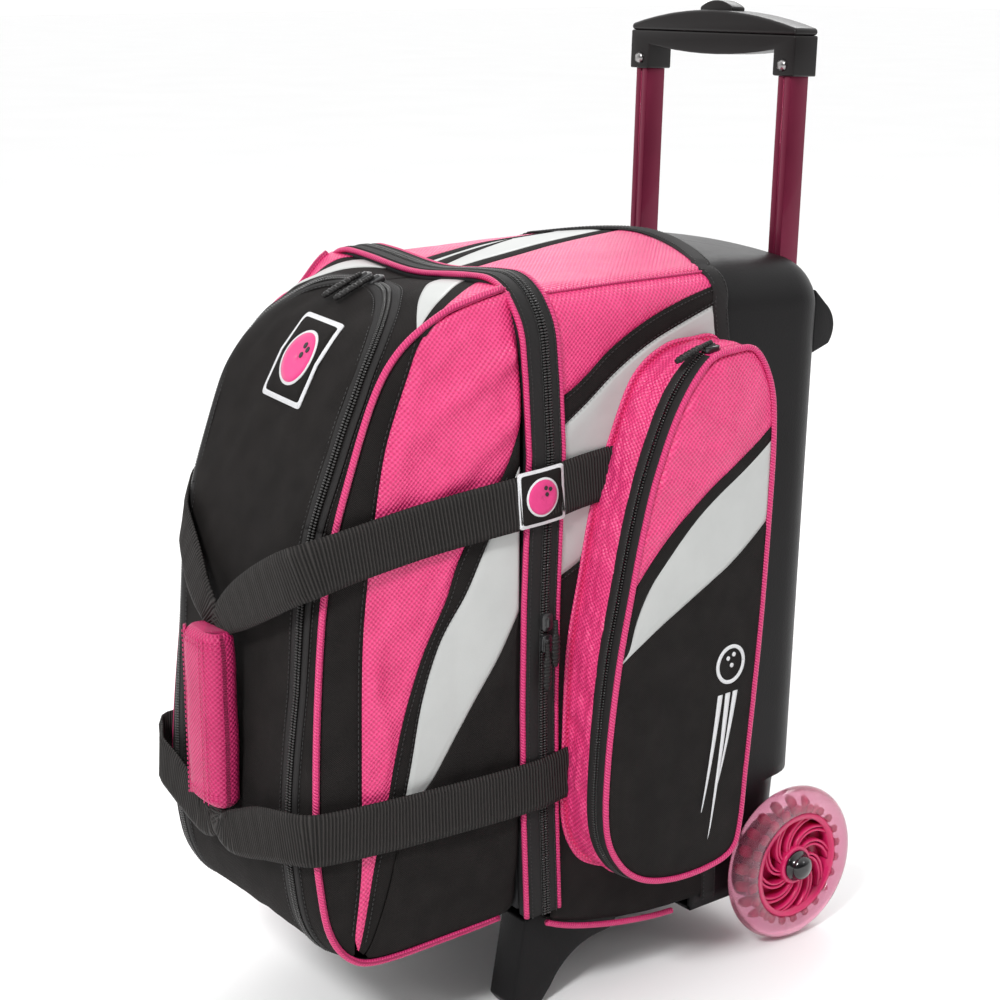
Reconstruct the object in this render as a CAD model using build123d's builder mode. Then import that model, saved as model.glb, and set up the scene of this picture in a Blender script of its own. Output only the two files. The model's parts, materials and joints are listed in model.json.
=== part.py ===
"""Two-ball roller bag for bowling balls: a fabric box on a moulded back shell, with a telescoping handle.

Millimetres. X runs across the bag, -Y is the front, +Z is up. The origin is on the floor under the
middle of the bag. Everything is mirror-symmetric about X = 0 except the zipper sliders and the grip.
"""

from build123d import *
import os

os.makedirs("parts", exist_ok=True)

# Wheels, from the 5 inch inline-skate size that such bags roll on
WHEEL_R = 63.5
WHEEL_Y = 196.5
WHEEL_IN = 124.3
WHEEL_OUT = 148.0
HUB_R = 43.6
BOSS_R = 15.5
BEARING_R = 11.0
BEARING_W = 7.0
AXLE_R = 4.0
RUN_CLEAR = 0.05
SPOKES = 10
SPOKE_W = 4.5
SPOKE_SKEW = 28.0
SPOKE_SHIFT = 2.0
HUB_RIM = 5.0
WEB_INSET = 3.0
TYRE_ROUND = 8.0

# Overshoot of a cut past the face that it opens, small and large
OVER = 1.0
SPARE = 60.0

# Fabric body that holds two balls of 218 mm, one above the other
BODY_X = 122.0
WALL = 6.0
BODY_FRONT = -39.0
SEAM_Y = 120.0
BOTTOM_FRONT_Z = 77.0
BOTTOM_REAR_Z = 48.0
ARCH_Z = 515.0
TOP_Z = 547.0
TOP_R = 30.0
BALL_R = 109.0
BALL_Y = 80.0
BALL_LOW_Z = 190.0
BALL_PITCH = 224.0
SEAT_R = 88.0
SEAT_HOLE = 62.0
DIVIDER_T = 16.0
DIVIDER_R = 20.0
SEAT_RISE = 22.0
BOWL_LIP = 8.0
BOWL_DEPTH = 80.0
BOWL_TAPER = 18.0

# Zipper plane between the body and the front lid
RIM_X = 125.0
RIM_TOP = 557.0
RIM_R = 42.0
RIM_WALL = 11.0
RIM_LOW = 88.0
ZIP_Y = -49.5
LID_REAR = -67.0
GAP = 0.4
RIM_SEWN = 6.0

# Front lid: the shoe compartment
LID_X = 114.0
LID_WALL = 4.0
LID_TOP = 552.0
LID_R = 24.0
FLAP_X = 88.0
FLAP_LOW = 402.0
FLAP_REAR = -112.0
LID_BOARD = -60.0
BOARD_T = 4.0
BOARD_LIFT = 2.0
WINDOW_FAR = -300.0
WINDOW_TALL = 200.0
LID_SILL = 10.0
MAIN_SLIDER_Z = 308.0

# Moulded back shell
SHELL_X = 120.0
SHELL_WALL = 4.0
SHELL_LOW = 42.0
SHELL_SIDE_TOP = 545.0
SHELL_CROWN = 557.0
NOTCH_Z = 132.0
LEAN = 0.032
REAR_AT_0 = 220.6
REAR_R = 34.0
NOTCH_STEP = 14.0
NOTCH_DROP = 6.0
LOW_TUCK = 20.0

# Telescoping handle, leaning with the shell
TUBE_X = 80.5
TUBE_W = 13.0
TUBE_D = 19.0
TUBE_Y0 = 202.1
TUBE_LOW = 300.0
TUBE_TOP = 705.0
TUBE_CLEAR = 0.3
OUTER_WALL = 1.5
OUTER_LOW = 140.0
OUTER_TOP = 524.0
OUTER_FLOOR = 3.0
INNER_WALL_X = 1.5
INNER_WALL_Y = 1.8
GROOVE_W = 2.0
GROOVE_D = 1.2
LEG_W = 22.0
LEG_LOW = 680.0
GRIP_X = 92.0
GRIP_D = 25.0
PARTING = 710.0
GRIP_CORNER = 715.0
GRIP_CROWN = 727.0
BUTTON_X = 18.0
BUTTON_W = 14.0
BUTTON_LOW = 716.0
BUTTON_TOP = 734.5
PALM_Z = 693.5
PALM_END_Z = 699.0
BUTTON_SHOULDER = 729.0

# Rear liner, measured forward of the tube axis
LINER_FRONT = 14.0
LINER_T = 2.0
LINER_LOW = 62.0
LINER_TOP = 524.0
LINER_R = 12.0
LINER_CLEAR = 2.0

# Wheel hub, axle, feet and bumpers
HUB_IN = 127.0
HUB_OUT = 145.0
ROD_END = 149.0
COLLAR = 3.0
NUT_R = 7.0
NUT_H = 6.0
DOME_R = 5.5
DOME_H = 4.0
DOME_TAPER = 25.0
FOOT_X = 89.0
FOOT_W = 29.0
BUMPER_X = 62.0
BUMPER_W = 28.0
BUMPER_OUT = 15.0
BUMPER_MID = 494.0
BUMPER_LOW = 470.0
BUMPER_HIGH = 520.0
BUMPER_EASE = 3.0

# Side view of a kick foot, as (Y, Z): sole, concave back, the arm under the bag, and the shin
SOLE_FRONT = (-54, 0)
SOLE_REAR = (-33, 0)
HOLLOW_START = (-22, 13)
HOLLOW_MID = (-2, 33)
HOLLOW_END = (22, 41)
ARM_LOW = (36, 42)
ARM_TIP = (42, 49)
ARM_END_Y = 36
SHIN_TOP = (-48, 74)
SHIN_LOW = (-60, 8)

# Side pockets
POCKET_OUT = 176.0
POCKET_ZIP = 160.0
POCKET_WALL = 3.0
POCKET_ROUND = 14.0
DOOR_SKIN = 5.0
POCKET_CORNERS = [
    (-14, 112),
    (-36, 160),
    (-33, 268),
    (2, 408),
    (44, 498),
    (112, 500),
    (122, 452),
    (117, 290),
    (100, 160),
    (95, 104),
    (40, 104),
]

# Zipper sliders and pulls: where each slider stands in the side view, and which way it faces
SLIDER_SPACE = 8.0
FLAP_SLIDER = (-119.0, 545.6)
FLAP_FACING = (0, -0.33, 0.94)
POCKET_SLIDER = (70.0, 499.2)
POCKET_FACING = (0, -0.03, 1)
SLIDER_W = 9.0
SLIDER_LONG = 13.0
SLIDER_ROUND = 3.0
SLIDER_H = 4.0
BRIDGE_W = 3.0
BRIDGE_LONG = 7.0
BRIDGE_H = 1.6
PULL_LONG = 34.0
PULL_T = 2.2
PULL_W = 6.5
PULL_LIFT = 7.4
PULL_NOSE = 2.0
PULL_ROUND = 3.0

# Carry loops of 38 mm webbing
WEB_W = 38.0
WEB_T = 2.4
GRIP_Y = -246.5
GRIP_HALF = 23.0
GRIP_LOW = 190.0
GRIP_HIGH = 318.0
GRIP_FRONT = -260.0
WRAP_ROUND = 9.0
WRAP_SLOT = 8.0
SLOT_DEEP = 26.0
CORE_W = 28.0
CORE_T = 4.0
CORE_SHORT = 2.0

# Strap routes as (X, Y, Z): sewn end, over the zipper, round the lid's corner, into the grip
STRAP_X = RIM_X + 4
CORNER_X = LID_X + 3.5
CORNER_Y = -238.0
STRAP_IN = 26.0
UPPER_ROUTE = [
    (STRAP_X - 1, -6, 414),
    (STRAP_X, -60, 408),
    (CORNER_X, CORNER_Y, 388),
    (STRAP_IN, GRIP_Y, 330),
]
LOWER_ROUTE = [
    (STRAP_X - 1, -40, 196),
    (STRAP_X, -60, 194),
    (CORNER_X, CORNER_Y, 192),
    (STRAP_IN, GRIP_Y, 200),
]

# Planes: LEANED holds the handle's front view, with local Y along the tubes
LEANED = Plane(origin=(0, TUBE_Y0, 0), x_dir=(1, 0, 0), z_dir=(0, -1, LEAN))
TUBE_DIR = Vector(0, LEAN, 1).normalized()


def save(solid, name):
    """Label one finished piece and write its STEP file."""
    solid.label = name
    export_step(solid, f"parts/{name}.step")


def save_pair(right, name):
    """Write a right-hand piece and its mirror image."""
    save(right, f"{name}_right")
    with BuildPart() as left:
        mirror(right, about=Plane.YZ)
    save(left.part, f"{name}_left")


def side_view(x):
    """A sketch plane seen from the right: local X is world Y, local Y is world Z."""
    return Plane(origin=(x, 0, 0), x_dir=(0, 1, 0), z_dir=(1, 0, 0))


def front_view(y):
    """A sketch plane seen from behind the zipper: local X is world X, local Y is world Z."""
    return Plane(origin=(0, y, 0), x_dir=(1, 0, 0), z_dir=(0, -1, 0))


def side_panels():
    """Padded fabric walls of the ball compartment."""
    with BuildPart() as side_panel:
        with BuildSketch(side_view(BODY_X - WALL)):
            with BuildLine():
                Polyline(
                    (BODY_FRONT, BOTTOM_FRONT_Z),
                    (SEAM_Y, BOTTOM_REAR_Z),
                    (SEAM_Y, ARCH_Z),
                    (BODY_FRONT, ARCH_Z),
                    close=True,
                )
            make_face()
        extrude(amount=WALL)
    save_pair(side_panel.part, "side_panel")


def arch_face(half, low, top, radius):
    """An upright face with round shoulders, standing on low."""
    with BuildSketch() as face:
        with BuildLine():
            l1 = Line((half, low), (half, top - radius))
            l2 = RadiusArc(l1 @ 1, (half - radius, top), -radius)
            l3 = Line(l2 @ 1, (-half + radius, top))
            l4 = RadiusArc(l3 @ 1, (-half, top - radius), -radius)
            l5 = Line(l4 @ 1, (-half, low))
            Line(l5 @ 1, l1 @ 0)
        make_face()
    return face.sketch


def top_panel():
    """Fabric roof over the upper ball, with rolled shoulders."""
    with BuildPart() as roof:
        with BuildSketch(front_view(BODY_FRONT)):
            add(arch_face(BODY_X, ARCH_Z, TOP_Z, TOP_R))
        extrude(amount=BODY_FRONT - SEAM_Y)
        with BuildSketch(front_view(BODY_FRONT)):
            add(arch_face(BODY_X - WALL, ARCH_Z - OVER, TOP_Z - WALL, TOP_R - WALL))
        extrude(amount=BODY_FRONT - SEAM_Y, mode=Mode.SUBTRACT)
    save(roof.part, "top_panel")


def base_board():
    """Stiff floor of the ball compartment, sloping down to the wheels."""
    with BuildPart() as board:
        with BuildSketch(side_view(-BODY_X + WALL)):
            with BuildLine():
                Polyline(
                    (BODY_FRONT, BOTTOM_FRONT_Z),
                    (SEAM_Y, BOTTOM_REAR_Z),
                    (SEAM_Y, BOTTOM_REAR_Z + WALL),
                    (BODY_FRONT, BOTTOM_FRONT_Z + WALL),
                    close=True,
                )
            make_face()
        extrude(amount=2 * (BODY_X - WALL))
    save(board.part, "base_board")


def rim(name, front, rear):
    """One half of the zipper tape, standing round the mouth of the bag."""
    with BuildPart() as band:
        with BuildSketch(front_view(rear)):
            add(arch_face(RIM_X, RIM_LOW, RIM_TOP, RIM_R))
        extrude(amount=rear - front)
        with BuildSketch(front_view(rear)):
            add(arch_face(RIM_X - RIM_WALL, RIM_LOW - OVER, RIM_TOP - RIM_WALL, RIM_R - RIM_WALL))
        extrude(amount=rear - front, mode=Mode.SUBTRACT)
    save(band.part, name)


def floor_z(y):
    """Height of the ball compartment's outer floor at a depth."""
    slope = (BOTTOM_REAR_Z - BOTTOM_FRONT_Z) / (SEAM_Y - BODY_FRONT)
    return BOTTOM_FRONT_Z + slope * (y - BODY_FRONT)


def ball_rests():
    """Foam seat wedged under the lower ball and foam divider between the two balls."""
    seat_top = BALL_LOW_Z - BALL_R + SEAT_RISE
    front = BALL_Y - SEAT_R
    rear = SEAM_Y
    with BuildPart() as seat:
        with BuildSketch(side_view(-SEAT_R)):
            with BuildLine():
                Polyline(
                    (front, floor_z(front) + WALL),
                    (rear, floor_z(rear) + WALL),
                    (rear, seat_top),
                    (front, seat_top),
                    close=True,
                )
            make_face()
        extrude(amount=2 * SEAT_R)
        with BuildSketch(Plane.XY.offset(seat_top)):
            with Locations((0, BALL_Y)):
                Circle(SEAT_HOLE + BOWL_LIP)
        extrude(amount=-BOWL_DEPTH, taper=BOWL_TAPER, mode=Mode.SUBTRACT)
    save(seat.part, "ball_seat")
    middle = BALL_LOW_Z + BALL_PITCH / 2
    with BuildPart() as divider:
        with BuildSketch(Plane.XY.offset(middle - DIVIDER_T / 2)):
            with Locations((0, BALL_Y)):
                RectangleRounded(2 * (BODY_X - WALL) - OVER, 2 * SEAT_R, DIVIDER_R)
                Circle(SEAT_HOLE, mode=Mode.SUBTRACT)
        extrude(amount=DIVIDER_T)
    save(divider.part, "ball_divider")


def shell_front_face(inset):
    """Front view of the shell: round shoulders and a slightly domed top."""
    half = SHELL_X - inset
    side = SHELL_SIDE_TOP - REAR_R - inset
    shoulder = SHELL_SIDE_TOP - inset
    with BuildSketch() as face:
        with BuildLine():
            l1 = Line((half, SHELL_LOW + inset), (half, side))
            l2 = RadiusArc(l1 @ 1, (half - REAR_R, shoulder), -REAR_R)
            l3 = ThreePointArc(l2 @ 1, (0, SHELL_CROWN - inset), (-half + REAR_R, shoulder))
            l4 = RadiusArc(l3 @ 1, (-half, side), -REAR_R)
            l5 = Line(l4 @ 1, (-half, SHELL_LOW + inset))
            Line(l5 @ 1, l1 @ 0)
        make_face()
    return face.sketch


def shell_side_face(inset):
    """Side view of the shell: leaning back, round top corner, wheel notch and a flat bottom."""
    corner_z = SHELL_CROWN - inset
    rear_low = REAR_AT_0 + LEAN * NOTCH_Z - inset
    rear_high = REAR_AT_0 + LEAN * (corner_z - REAR_R) - inset
    with BuildSketch() as face:
        with BuildLine():
            l1 = Line((SEAM_Y, SHELL_LOW + inset), (SEAM_Y, corner_z))
            l2 = Line(l1 @ 1, (rear_high - REAR_R, corner_z))
            l3 = RadiusArc(l2 @ 1, (rear_high, corner_z - REAR_R), REAR_R)
            l4 = Line(l3 @ 1, (rear_low, NOTCH_Z + inset))
            l5 = Line(l4 @ 1, (rear_low - NOTCH_STEP, NOTCH_Z - NOTCH_DROP + inset))
            l6 = Line(l5 @ 1, (rear_low - LOW_TUCK, SHELL_LOW + inset))
            Line(l6 @ 1, l1 @ 0)
        make_face()
    return face.sketch


def shell_block(inset):
    """Solid block of the shell, with all its outer faces moved in by inset."""
    half = SHELL_X - inset
    with BuildPart() as block:
        with BuildSketch(side_view(-half)):
            add(shell_side_face(inset))
        extrude(amount=2 * half)
        with BuildSketch(front_view(SEAM_Y - OVER)):
            add(shell_front_face(inset))
        extrude(amount=-SHELL_X - SPARE, mode=Mode.INTERSECT)
        depth = 2 * (REAR_AT_0 - inset - SEAM_Y + SPARE)
        with BuildSketch(Plane(origin=(0, SEAM_Y - SPARE, 0), x_dir=(1, 0, 0), z_dir=TUBE_DIR)):
            RectangleRounded(2 * half, depth, REAR_R - inset)
        extrude(amount=SHELL_CROWN + SPARE, mode=Mode.INTERSECT)
    return block.part


def tube_place(side, along):
    """A plane square to a handle tube, at a height along the leaning tube."""
    return Plane(origin=(side * TUBE_X, TUBE_Y0 + LEAN * along, along), x_dir=(1, 0, 0), z_dir=TUBE_DIR)


def back_shell():
    """Moulded tray that closes the back, carries the axle and hides the fixed tubes."""
    outer = shell_block(0)
    inner = shell_block(SHELL_WALL)
    with BuildPart() as shell:
        add(outer)
        add(inner, mode=Mode.SUBTRACT)
        for side in (-1, 1):
            with BuildSketch(tube_place(side, OUTER_TOP)):
                Rectangle(TUBE_W + 2 * TUBE_CLEAR, TUBE_D + 2 * TUBE_CLEAR)
            extrude(amount=SPARE, mode=Mode.SUBTRACT)
        with BuildSketch(side_view(-SHELL_X)):
            with Locations((WHEEL_Y, WHEEL_R)):
                Circle(AXLE_R)
        extrude(amount=2 * SHELL_X, mode=Mode.SUBTRACT)
    save(shell.part, "back_shell")


def rear_liner():
    """Thin board that keeps the balls off the handle tubes, leaning with them."""
    with BuildPart() as liner:
        with BuildSketch(LEANED.offset(LINER_FRONT)):
            with Locations((0, (LINER_LOW + LINER_TOP) / 2)):
                RectangleRounded(
                    2 * (SHELL_X - SHELL_WALL - LINER_CLEAR),
                    LINER_TOP - LINER_LOW,
                    LINER_R,
                )
        extrude(amount=LINER_T)
    save(liner.part, "rear_liner")


def outer_tubes():
    """Fixed lower tubes, open at the top, that the handle tubes run in."""
    with BuildPart() as tube:
        with BuildSketch(tube_place(1, OUTER_LOW)):
            Rectangle(
                TUBE_W + 2 * (TUBE_CLEAR + OUTER_WALL),
                TUBE_D + 2 * (TUBE_CLEAR + OUTER_WALL),
            )
        extrude(amount=OUTER_TOP - OUTER_LOW)
        with BuildSketch(tube_place(1, OUTER_LOW + OUTER_FLOOR)):
            Rectangle(TUBE_W + 2 * TUBE_CLEAR, TUBE_D + 2 * TUBE_CLEAR)
        extrude(amount=OUTER_TOP - OUTER_LOW, mode=Mode.SUBTRACT)
    save_pair(tube.part, "outer_tube")


def inner_tubes():
    """Anodised handle tubes with a groove down the front and the back."""
    with BuildPart() as tube:
        with BuildSketch(tube_place(1, TUBE_LOW)):
            Rectangle(TUBE_W, TUBE_D)
            with Locations((0, TUBE_D / 2), (0, -TUBE_D / 2)):
                Rectangle(GROOVE_W, GROOVE_D, mode=Mode.SUBTRACT)
            Rectangle(
                TUBE_W - 2 * INNER_WALL_X,
                TUBE_D - 2 * INNER_WALL_Y,
                mode=Mode.SUBTRACT,
            )
        extrude(amount=TUBE_TOP - TUBE_LOW)
    save_pair(tube.part, "inner_tube")


def grip_lower():
    """Lower half of the pull grip: two square sockets and a swelling palm side."""
    half_depth = GRIP_D / 2
    with BuildPart() as lower:
        with BuildSketch(LEANED.offset(-half_depth)):
            with BuildLine():
                inner = GRIP_X - LEG_W
                l1 = Line((-GRIP_X, PARTING), (-GRIP_X, LEG_LOW))
                l2 = Line(l1 @ 1, (-inner, LEG_LOW))
                l3 = Line(l2 @ 1, (-inner, PALM_END_Z))
                l4 = ThreePointArc(l3 @ 1, (0, PALM_Z), (inner, PALM_END_Z))
                l5 = Line(l4 @ 1, (inner, LEG_LOW))
                l6 = Line(l5 @ 1, (GRIP_X, LEG_LOW))
                l7 = Line(l6 @ 1, (GRIP_X, PARTING))
                Line(l7 @ 1, l1 @ 0)
            make_face()
        extrude(amount=GRIP_D)
        for side in (-1, 1):
            with BuildSketch(tube_place(side, LEG_LOW - OVER)):
                Rectangle(TUBE_W, TUBE_D)
            extrude(amount=TUBE_TOP - LEG_LOW + OVER, mode=Mode.SUBTRACT)
    save(lower.part, "grip_lower")


def grip_upper():
    """Arched upper half of the pull grip with a well for the release button."""
    half_depth = GRIP_D / 2
    with BuildPart() as upper:
        with BuildSketch(LEANED.offset(-half_depth)):
            with BuildLine():
                l1 = Line((-GRIP_X, PARTING), (GRIP_X, PARTING))
                l2 = Line(l1 @ 1, (GRIP_X, GRIP_CORNER))
                l3 = ThreePointArc(l2 @ 1, (0, GRIP_CROWN), (-GRIP_X, GRIP_CORNER))
                Line(l3 @ 1, l1 @ 0)
            make_face()
        extrude(amount=GRIP_D)
        with BuildSketch(tube_place(0, PARTING)):
            Rectangle(2 * (BUTTON_X + GAP), BUTTON_W + 2 * GAP)
        extrude(amount=SPARE, mode=Mode.SUBTRACT)
    save(upper.part, "grip_upper")


def release_button():
    """Domed push button in the top of the grip."""
    with BuildPart() as button:
        with BuildSketch(LEANED.offset(-BUTTON_W / 2)):
            with BuildLine():
                l1 = Line((-BUTTON_X, BUTTON_LOW), (BUTTON_X, BUTTON_LOW))
                l2 = Line(l1 @ 1, (BUTTON_X, BUTTON_SHOULDER))
                l3 = ThreePointArc(l2 @ 1, (0, BUTTON_TOP), (-BUTTON_X, BUTTON_SHOULDER))
                Line(l3 @ 1, l1 @ 0)
            make_face()
        extrude(amount=BUTTON_W)
    save(button.part, "release_button")


def disc(x_from, x_to, radius, hole):
    """A ring round the wheel axis between two X positions."""
    with BuildPart() as ring:
        with BuildSketch(side_view(x_from)):
            with Locations((WHEEL_Y, WHEEL_R)):
                Circle(radius)
                Circle(hole, mode=Mode.SUBTRACT)
        extrude(amount=x_to - x_from)
    return ring.part


def wheels():
    """Clear tyres on spoked hubs that turn on ball bearings."""
    with BuildPart() as tyre:
        add(disc(WHEEL_IN, WHEEL_OUT, WHEEL_R, HUB_R))
        rims = tyre.edges().filter_by(GeomType.CIRCLE).group_by(SortBy.RADIUS)[-1]
        fillet(rims, TYRE_ROUND)
    save_pair(tyre.part, "tyre")
    with BuildPart() as hub:
        add(disc(HUB_IN, HUB_OUT, HUB_R, HUB_R - HUB_RIM))
        add(disc(HUB_IN, HUB_OUT, BOSS_R, BEARING_R))
        with BuildSketch(side_view(HUB_IN + WEB_INSET)):
            with Locations((WHEEL_Y, WHEEL_R)):
                with PolarLocations((BOSS_R + HUB_R) / 2 - SPOKE_SHIFT, SPOKES):
                    Rectangle(HUB_R - BOSS_R, SPOKE_W, rotation=SPOKE_SKEW)
                Circle(BOSS_R - OVER, mode=Mode.SUBTRACT)
        extrude(amount=HUB_OUT - HUB_IN - 2 * WEB_INSET)
    save_pair(hub.part, "hub")
    with BuildPart() as bearings:
        add(disc(HUB_IN, HUB_IN + BEARING_W, BEARING_R, AXLE_R + RUN_CLEAR))
        add(disc(HUB_OUT - BEARING_W, HUB_OUT, BEARING_R, AXLE_R + RUN_CLEAR))
    save_pair(bearings.part, "bearings")


def axle():
    """Steel rod through the shell, with a collar beside each wheel."""
    with BuildPart() as rod:
        with BuildSketch(side_view(-ROD_END)):
            with Locations((WHEEL_Y, WHEEL_R)):
                Circle(AXLE_R)
        extrude(amount=2 * ROD_END)
        for start in (-HUB_IN + GAP, SHELL_X):
            with BuildSketch(side_view(start)):
                with Locations((WHEEL_Y, WHEEL_R)):
                    Circle(AXLE_R + COLLAR)
            extrude(amount=HUB_IN - GAP - SHELL_X)
    save(rod.part, "axle")
    with BuildPart() as nut:
        with BuildSketch(side_view(HUB_OUT + GAP)):
            with Locations((WHEEL_Y, WHEEL_R)):
                RegularPolygon(NUT_R, 6)
        extrude(amount=NUT_H)
        with BuildSketch(side_view(HUB_OUT + GAP + NUT_H)):
            with Locations((WHEEL_Y, WHEEL_R)):
                Circle(DOME_R)
        extrude(amount=DOME_H, taper=DOME_TAPER)
        with BuildSketch(side_view(HUB_OUT + GAP)):
            with Locations((WHEEL_Y, WHEEL_R)):
                Circle(AXLE_R)
        extrude(amount=ROD_END - HUB_OUT - GAP, mode=Mode.SUBTRACT)
    save_pair(nut.part, "axle_nut")


def kick_feet():
    """Moulded front feet: a sloping leg with a concave back and an arm under the bag."""
    with BuildPart() as foot:
        with BuildSketch(side_view(FOOT_X - FOOT_W / 2)):
            with BuildLine():
                l1 = Line(SOLE_FRONT, SOLE_REAR)
                l2 = Line(l1 @ 1, HOLLOW_START)
                l3 = ThreePointArc(l2 @ 1, HOLLOW_MID, HOLLOW_END)
                l4 = Line(l3 @ 1, ARM_LOW)
                l5 = Line(l4 @ 1, ARM_TIP)
                l6 = Line(l5 @ 1, (ARM_END_Y, floor_z(ARM_END_Y)))
                l7 = Line(l6 @ 1, (BODY_FRONT + OVER, floor_z(BODY_FRONT + OVER)))
                l8 = Line(l7 @ 1, SHIN_TOP)
                l9 = Line(l8 @ 1, SHIN_LOW)
                Line(l9 @ 1, l1 @ 0)
            make_face()
        extrude(amount=FOOT_W)
    save_pair(foot.part, "kick_foot")


def bumpers():
    """Rounded guards low on the corners of the shell's back that it rests on when laid down."""
    with BuildPart() as bumper:
        with BuildSketch(side_view(BUMPER_X)):
            with BuildLine():
                back = REAR_AT_0 + LEAN * BUMPER_MID
                crest = back + BUMPER_OUT
                l1 = Line((back, BUMPER_LOW), (crest - BUMPER_EASE, BUMPER_LOW + 2 * BUMPER_EASE))
                l2 = ThreePointArc(
                    l1 @ 1,
                    (crest, BUMPER_MID),
                    (crest - 2 * BUMPER_EASE, BUMPER_HIGH - 4 * BUMPER_EASE),
                )
                l3 = Line(l2 @ 1, (back + OVER, BUMPER_HIGH))
                Line(l3 @ 1, l1 @ 0)
            make_face()
        extrude(amount=BUMPER_W)
    save_pair(bumper.part, "rear_bumper")


def pocket_outline(inset):
    """Side view of a side pocket: tall, leaning back, with round corners."""
    with BuildSketch() as face:
        with BuildLine():
            Polyline(*POCKET_CORNERS, close=True)
        make_face()
        fillet(face.vertices(), POCKET_ROUND)
        if inset > 0:
            offset(amount=-inset, mode=Mode.REPLACE)
    return face.sketch


def side_pockets():
    """Accessory pockets: a gusset sewn to the bag's side and a door that zips onto it."""
    with BuildPart() as gusset:
        with BuildSketch(side_view(BODY_X)):
            add(pocket_outline(0))
            add(pocket_outline(POCKET_WALL), mode=Mode.SUBTRACT)
        extrude(amount=POCKET_ZIP - BODY_X)
    save_pair(gusset.part, "pocket_gusset")
    with BuildPart() as door:
        with BuildSketch(side_view(POCKET_ZIP + GAP)):
            add(pocket_outline(0))
        extrude(amount=POCKET_OUT - POCKET_ZIP - GAP)
        with BuildSketch(side_view(POCKET_ZIP + GAP)):
            add(pocket_outline(POCKET_WALL))
        extrude(amount=POCKET_OUT - POCKET_ZIP - GAP - DOOR_SKIN, mode=Mode.SUBTRACT)
    save_pair(door.part, "pocket_door")


def lid_outline():
    """Side view of the front lid: bulging low, sweeping back to the roof."""
    corners = [
        (LID_REAR, RIM_LOW),
        (-205, RIM_LOW),
        (-231, 125),
        (-231, 330),
        (-178, 507),
        (-105, LID_TOP),
        (LID_REAR, LID_TOP),
    ]
    with BuildSketch() as face:
        with BuildLine():
            Polyline(*corners, close=True)
        make_face()
        fillet(face.vertices().filter_by(lambda v: v.X < LID_REAR - 1), LID_R)
    return face.sketch


def lid_ring():
    """Front, top and bottom wall of the lid as one band."""
    with BuildPart() as band:
        with BuildSketch(side_view(-LID_X + LID_WALL)):
            add(lid_outline())
            offset(amount=-LID_WALL, mode=Mode.SUBTRACT)
        extrude(amount=2 * (LID_X - LID_WALL))
    return band.part


def lid():
    """Shoe compartment: side walls and a band with a window for the flap and an open rear."""
    with BuildPart() as tub:
        add(lid_ring())
        with BuildSketch(side_view(LID_X - LID_WALL)):
            add(lid_outline())
        extrude(amount=LID_WALL)
        with BuildSketch(side_view(-LID_X)):
            add(lid_outline())
        extrude(amount=LID_WALL)
        with BuildSketch(Plane.XY.offset(FLAP_LOW)):
            with Locations((0, (FLAP_REAR + WINDOW_FAR) / 2)):
                Rectangle(2 * FLAP_X, FLAP_REAR - WINDOW_FAR)
        extrude(amount=WINDOW_TALL, mode=Mode.SUBTRACT)
        with BuildSketch(front_view(LID_REAR + OVER)):
            half = RIM_X - RIM_WALL - RIM_SEWN
            top = RIM_TOP - RIM_WALL - RIM_SEWN
            add(arch_face(half, RIM_LOW + LID_SILL, top, RIM_R - RIM_WALL))
        extrude(amount=LID_WALL + 2 * OVER, mode=Mode.SUBTRACT)
    save(tub.part, "lid_tub")
    with BuildPart() as board:
        with BuildSketch(front_view(LID_BOARD)):
            half = RIM_X - RIM_WALL
            add(arch_face(half, RIM_LOW + BOARD_LIFT, RIM_TOP - RIM_WALL, RIM_R - RIM_WALL))
        extrude(amount=BOARD_T)
    save(board.part, "lid_board")


def flap():
    """Upper front panel of the shoe compartment that folds forward."""
    with BuildPart() as panel:
        add(lid_ring())
        with BuildSketch(Plane.XY.offset(FLAP_LOW + GAP)):
            with Locations((0, (FLAP_REAR - GAP + WINDOW_FAR) / 2)):
                Rectangle(2 * (FLAP_X - GAP), FLAP_REAR - GAP - WINDOW_FAR)
        extrude(amount=WINDOW_TALL, mode=Mode.INTERSECT)
    save(panel.part, "front_flap")


def webbing(runs, normals):
    """Flat webbing along straight runs, each with its own surface normal."""
    with BuildPart() as strap:
        for (start, end), normal in zip(runs, normals):
            along = Vector(*end) - Vector(*start)
            place = Plane(origin=start, x_dir=normal, z_dir=along)
            with BuildSketch(place):
                Rectangle(WEB_T, WEB_W)
            extrude(amount=along.length)
    return strap.part


def carry_loops():
    """Two carry loops: each has an upper and a lower strap from the bag's side to the grip."""
    for name, route in (("strap_upper", UPPER_ROUTE), ("strap_lower", LOWER_ROUTE)):
        runs = list(zip(route[:-1], route[1:]))
        normals = [(1, 0, 0), (1, 0, 0), (0, -1, 0)]
        save_pair(webbing(runs, normals), name)
    with BuildPart() as wrap:
        with BuildSketch(Plane.XY.offset(GRIP_LOW)):
            with Locations((0, GRIP_Y)):
                RectangleRounded(2 * GRIP_HALF, 2 * (GRIP_Y - GRIP_FRONT), WRAP_ROUND)
        extrude(amount=GRIP_HIGH - GRIP_LOW)
        with BuildSketch(Plane.XY.offset(GRIP_LOW)):
            with Locations((-GRIP_HALF / 2, GRIP_Y)):
                Rectangle(GRIP_HALF + SLOT_DEEP, WRAP_SLOT)
        extrude(amount=GRIP_HIGH - GRIP_LOW, mode=Mode.SUBTRACT)
    save(wrap.part, "carry_grip")
    with BuildPart() as core:
        with BuildSketch(Plane.XY.offset(GRIP_LOW + CORE_SHORT)):
            with Locations((-CORE_SHORT, GRIP_Y)):
                Rectangle(CORE_W, CORE_T)
        extrude(amount=GRIP_HIGH - GRIP_LOW - 2 * CORE_SHORT)
    save(core.part, "loop_core_left")


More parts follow.
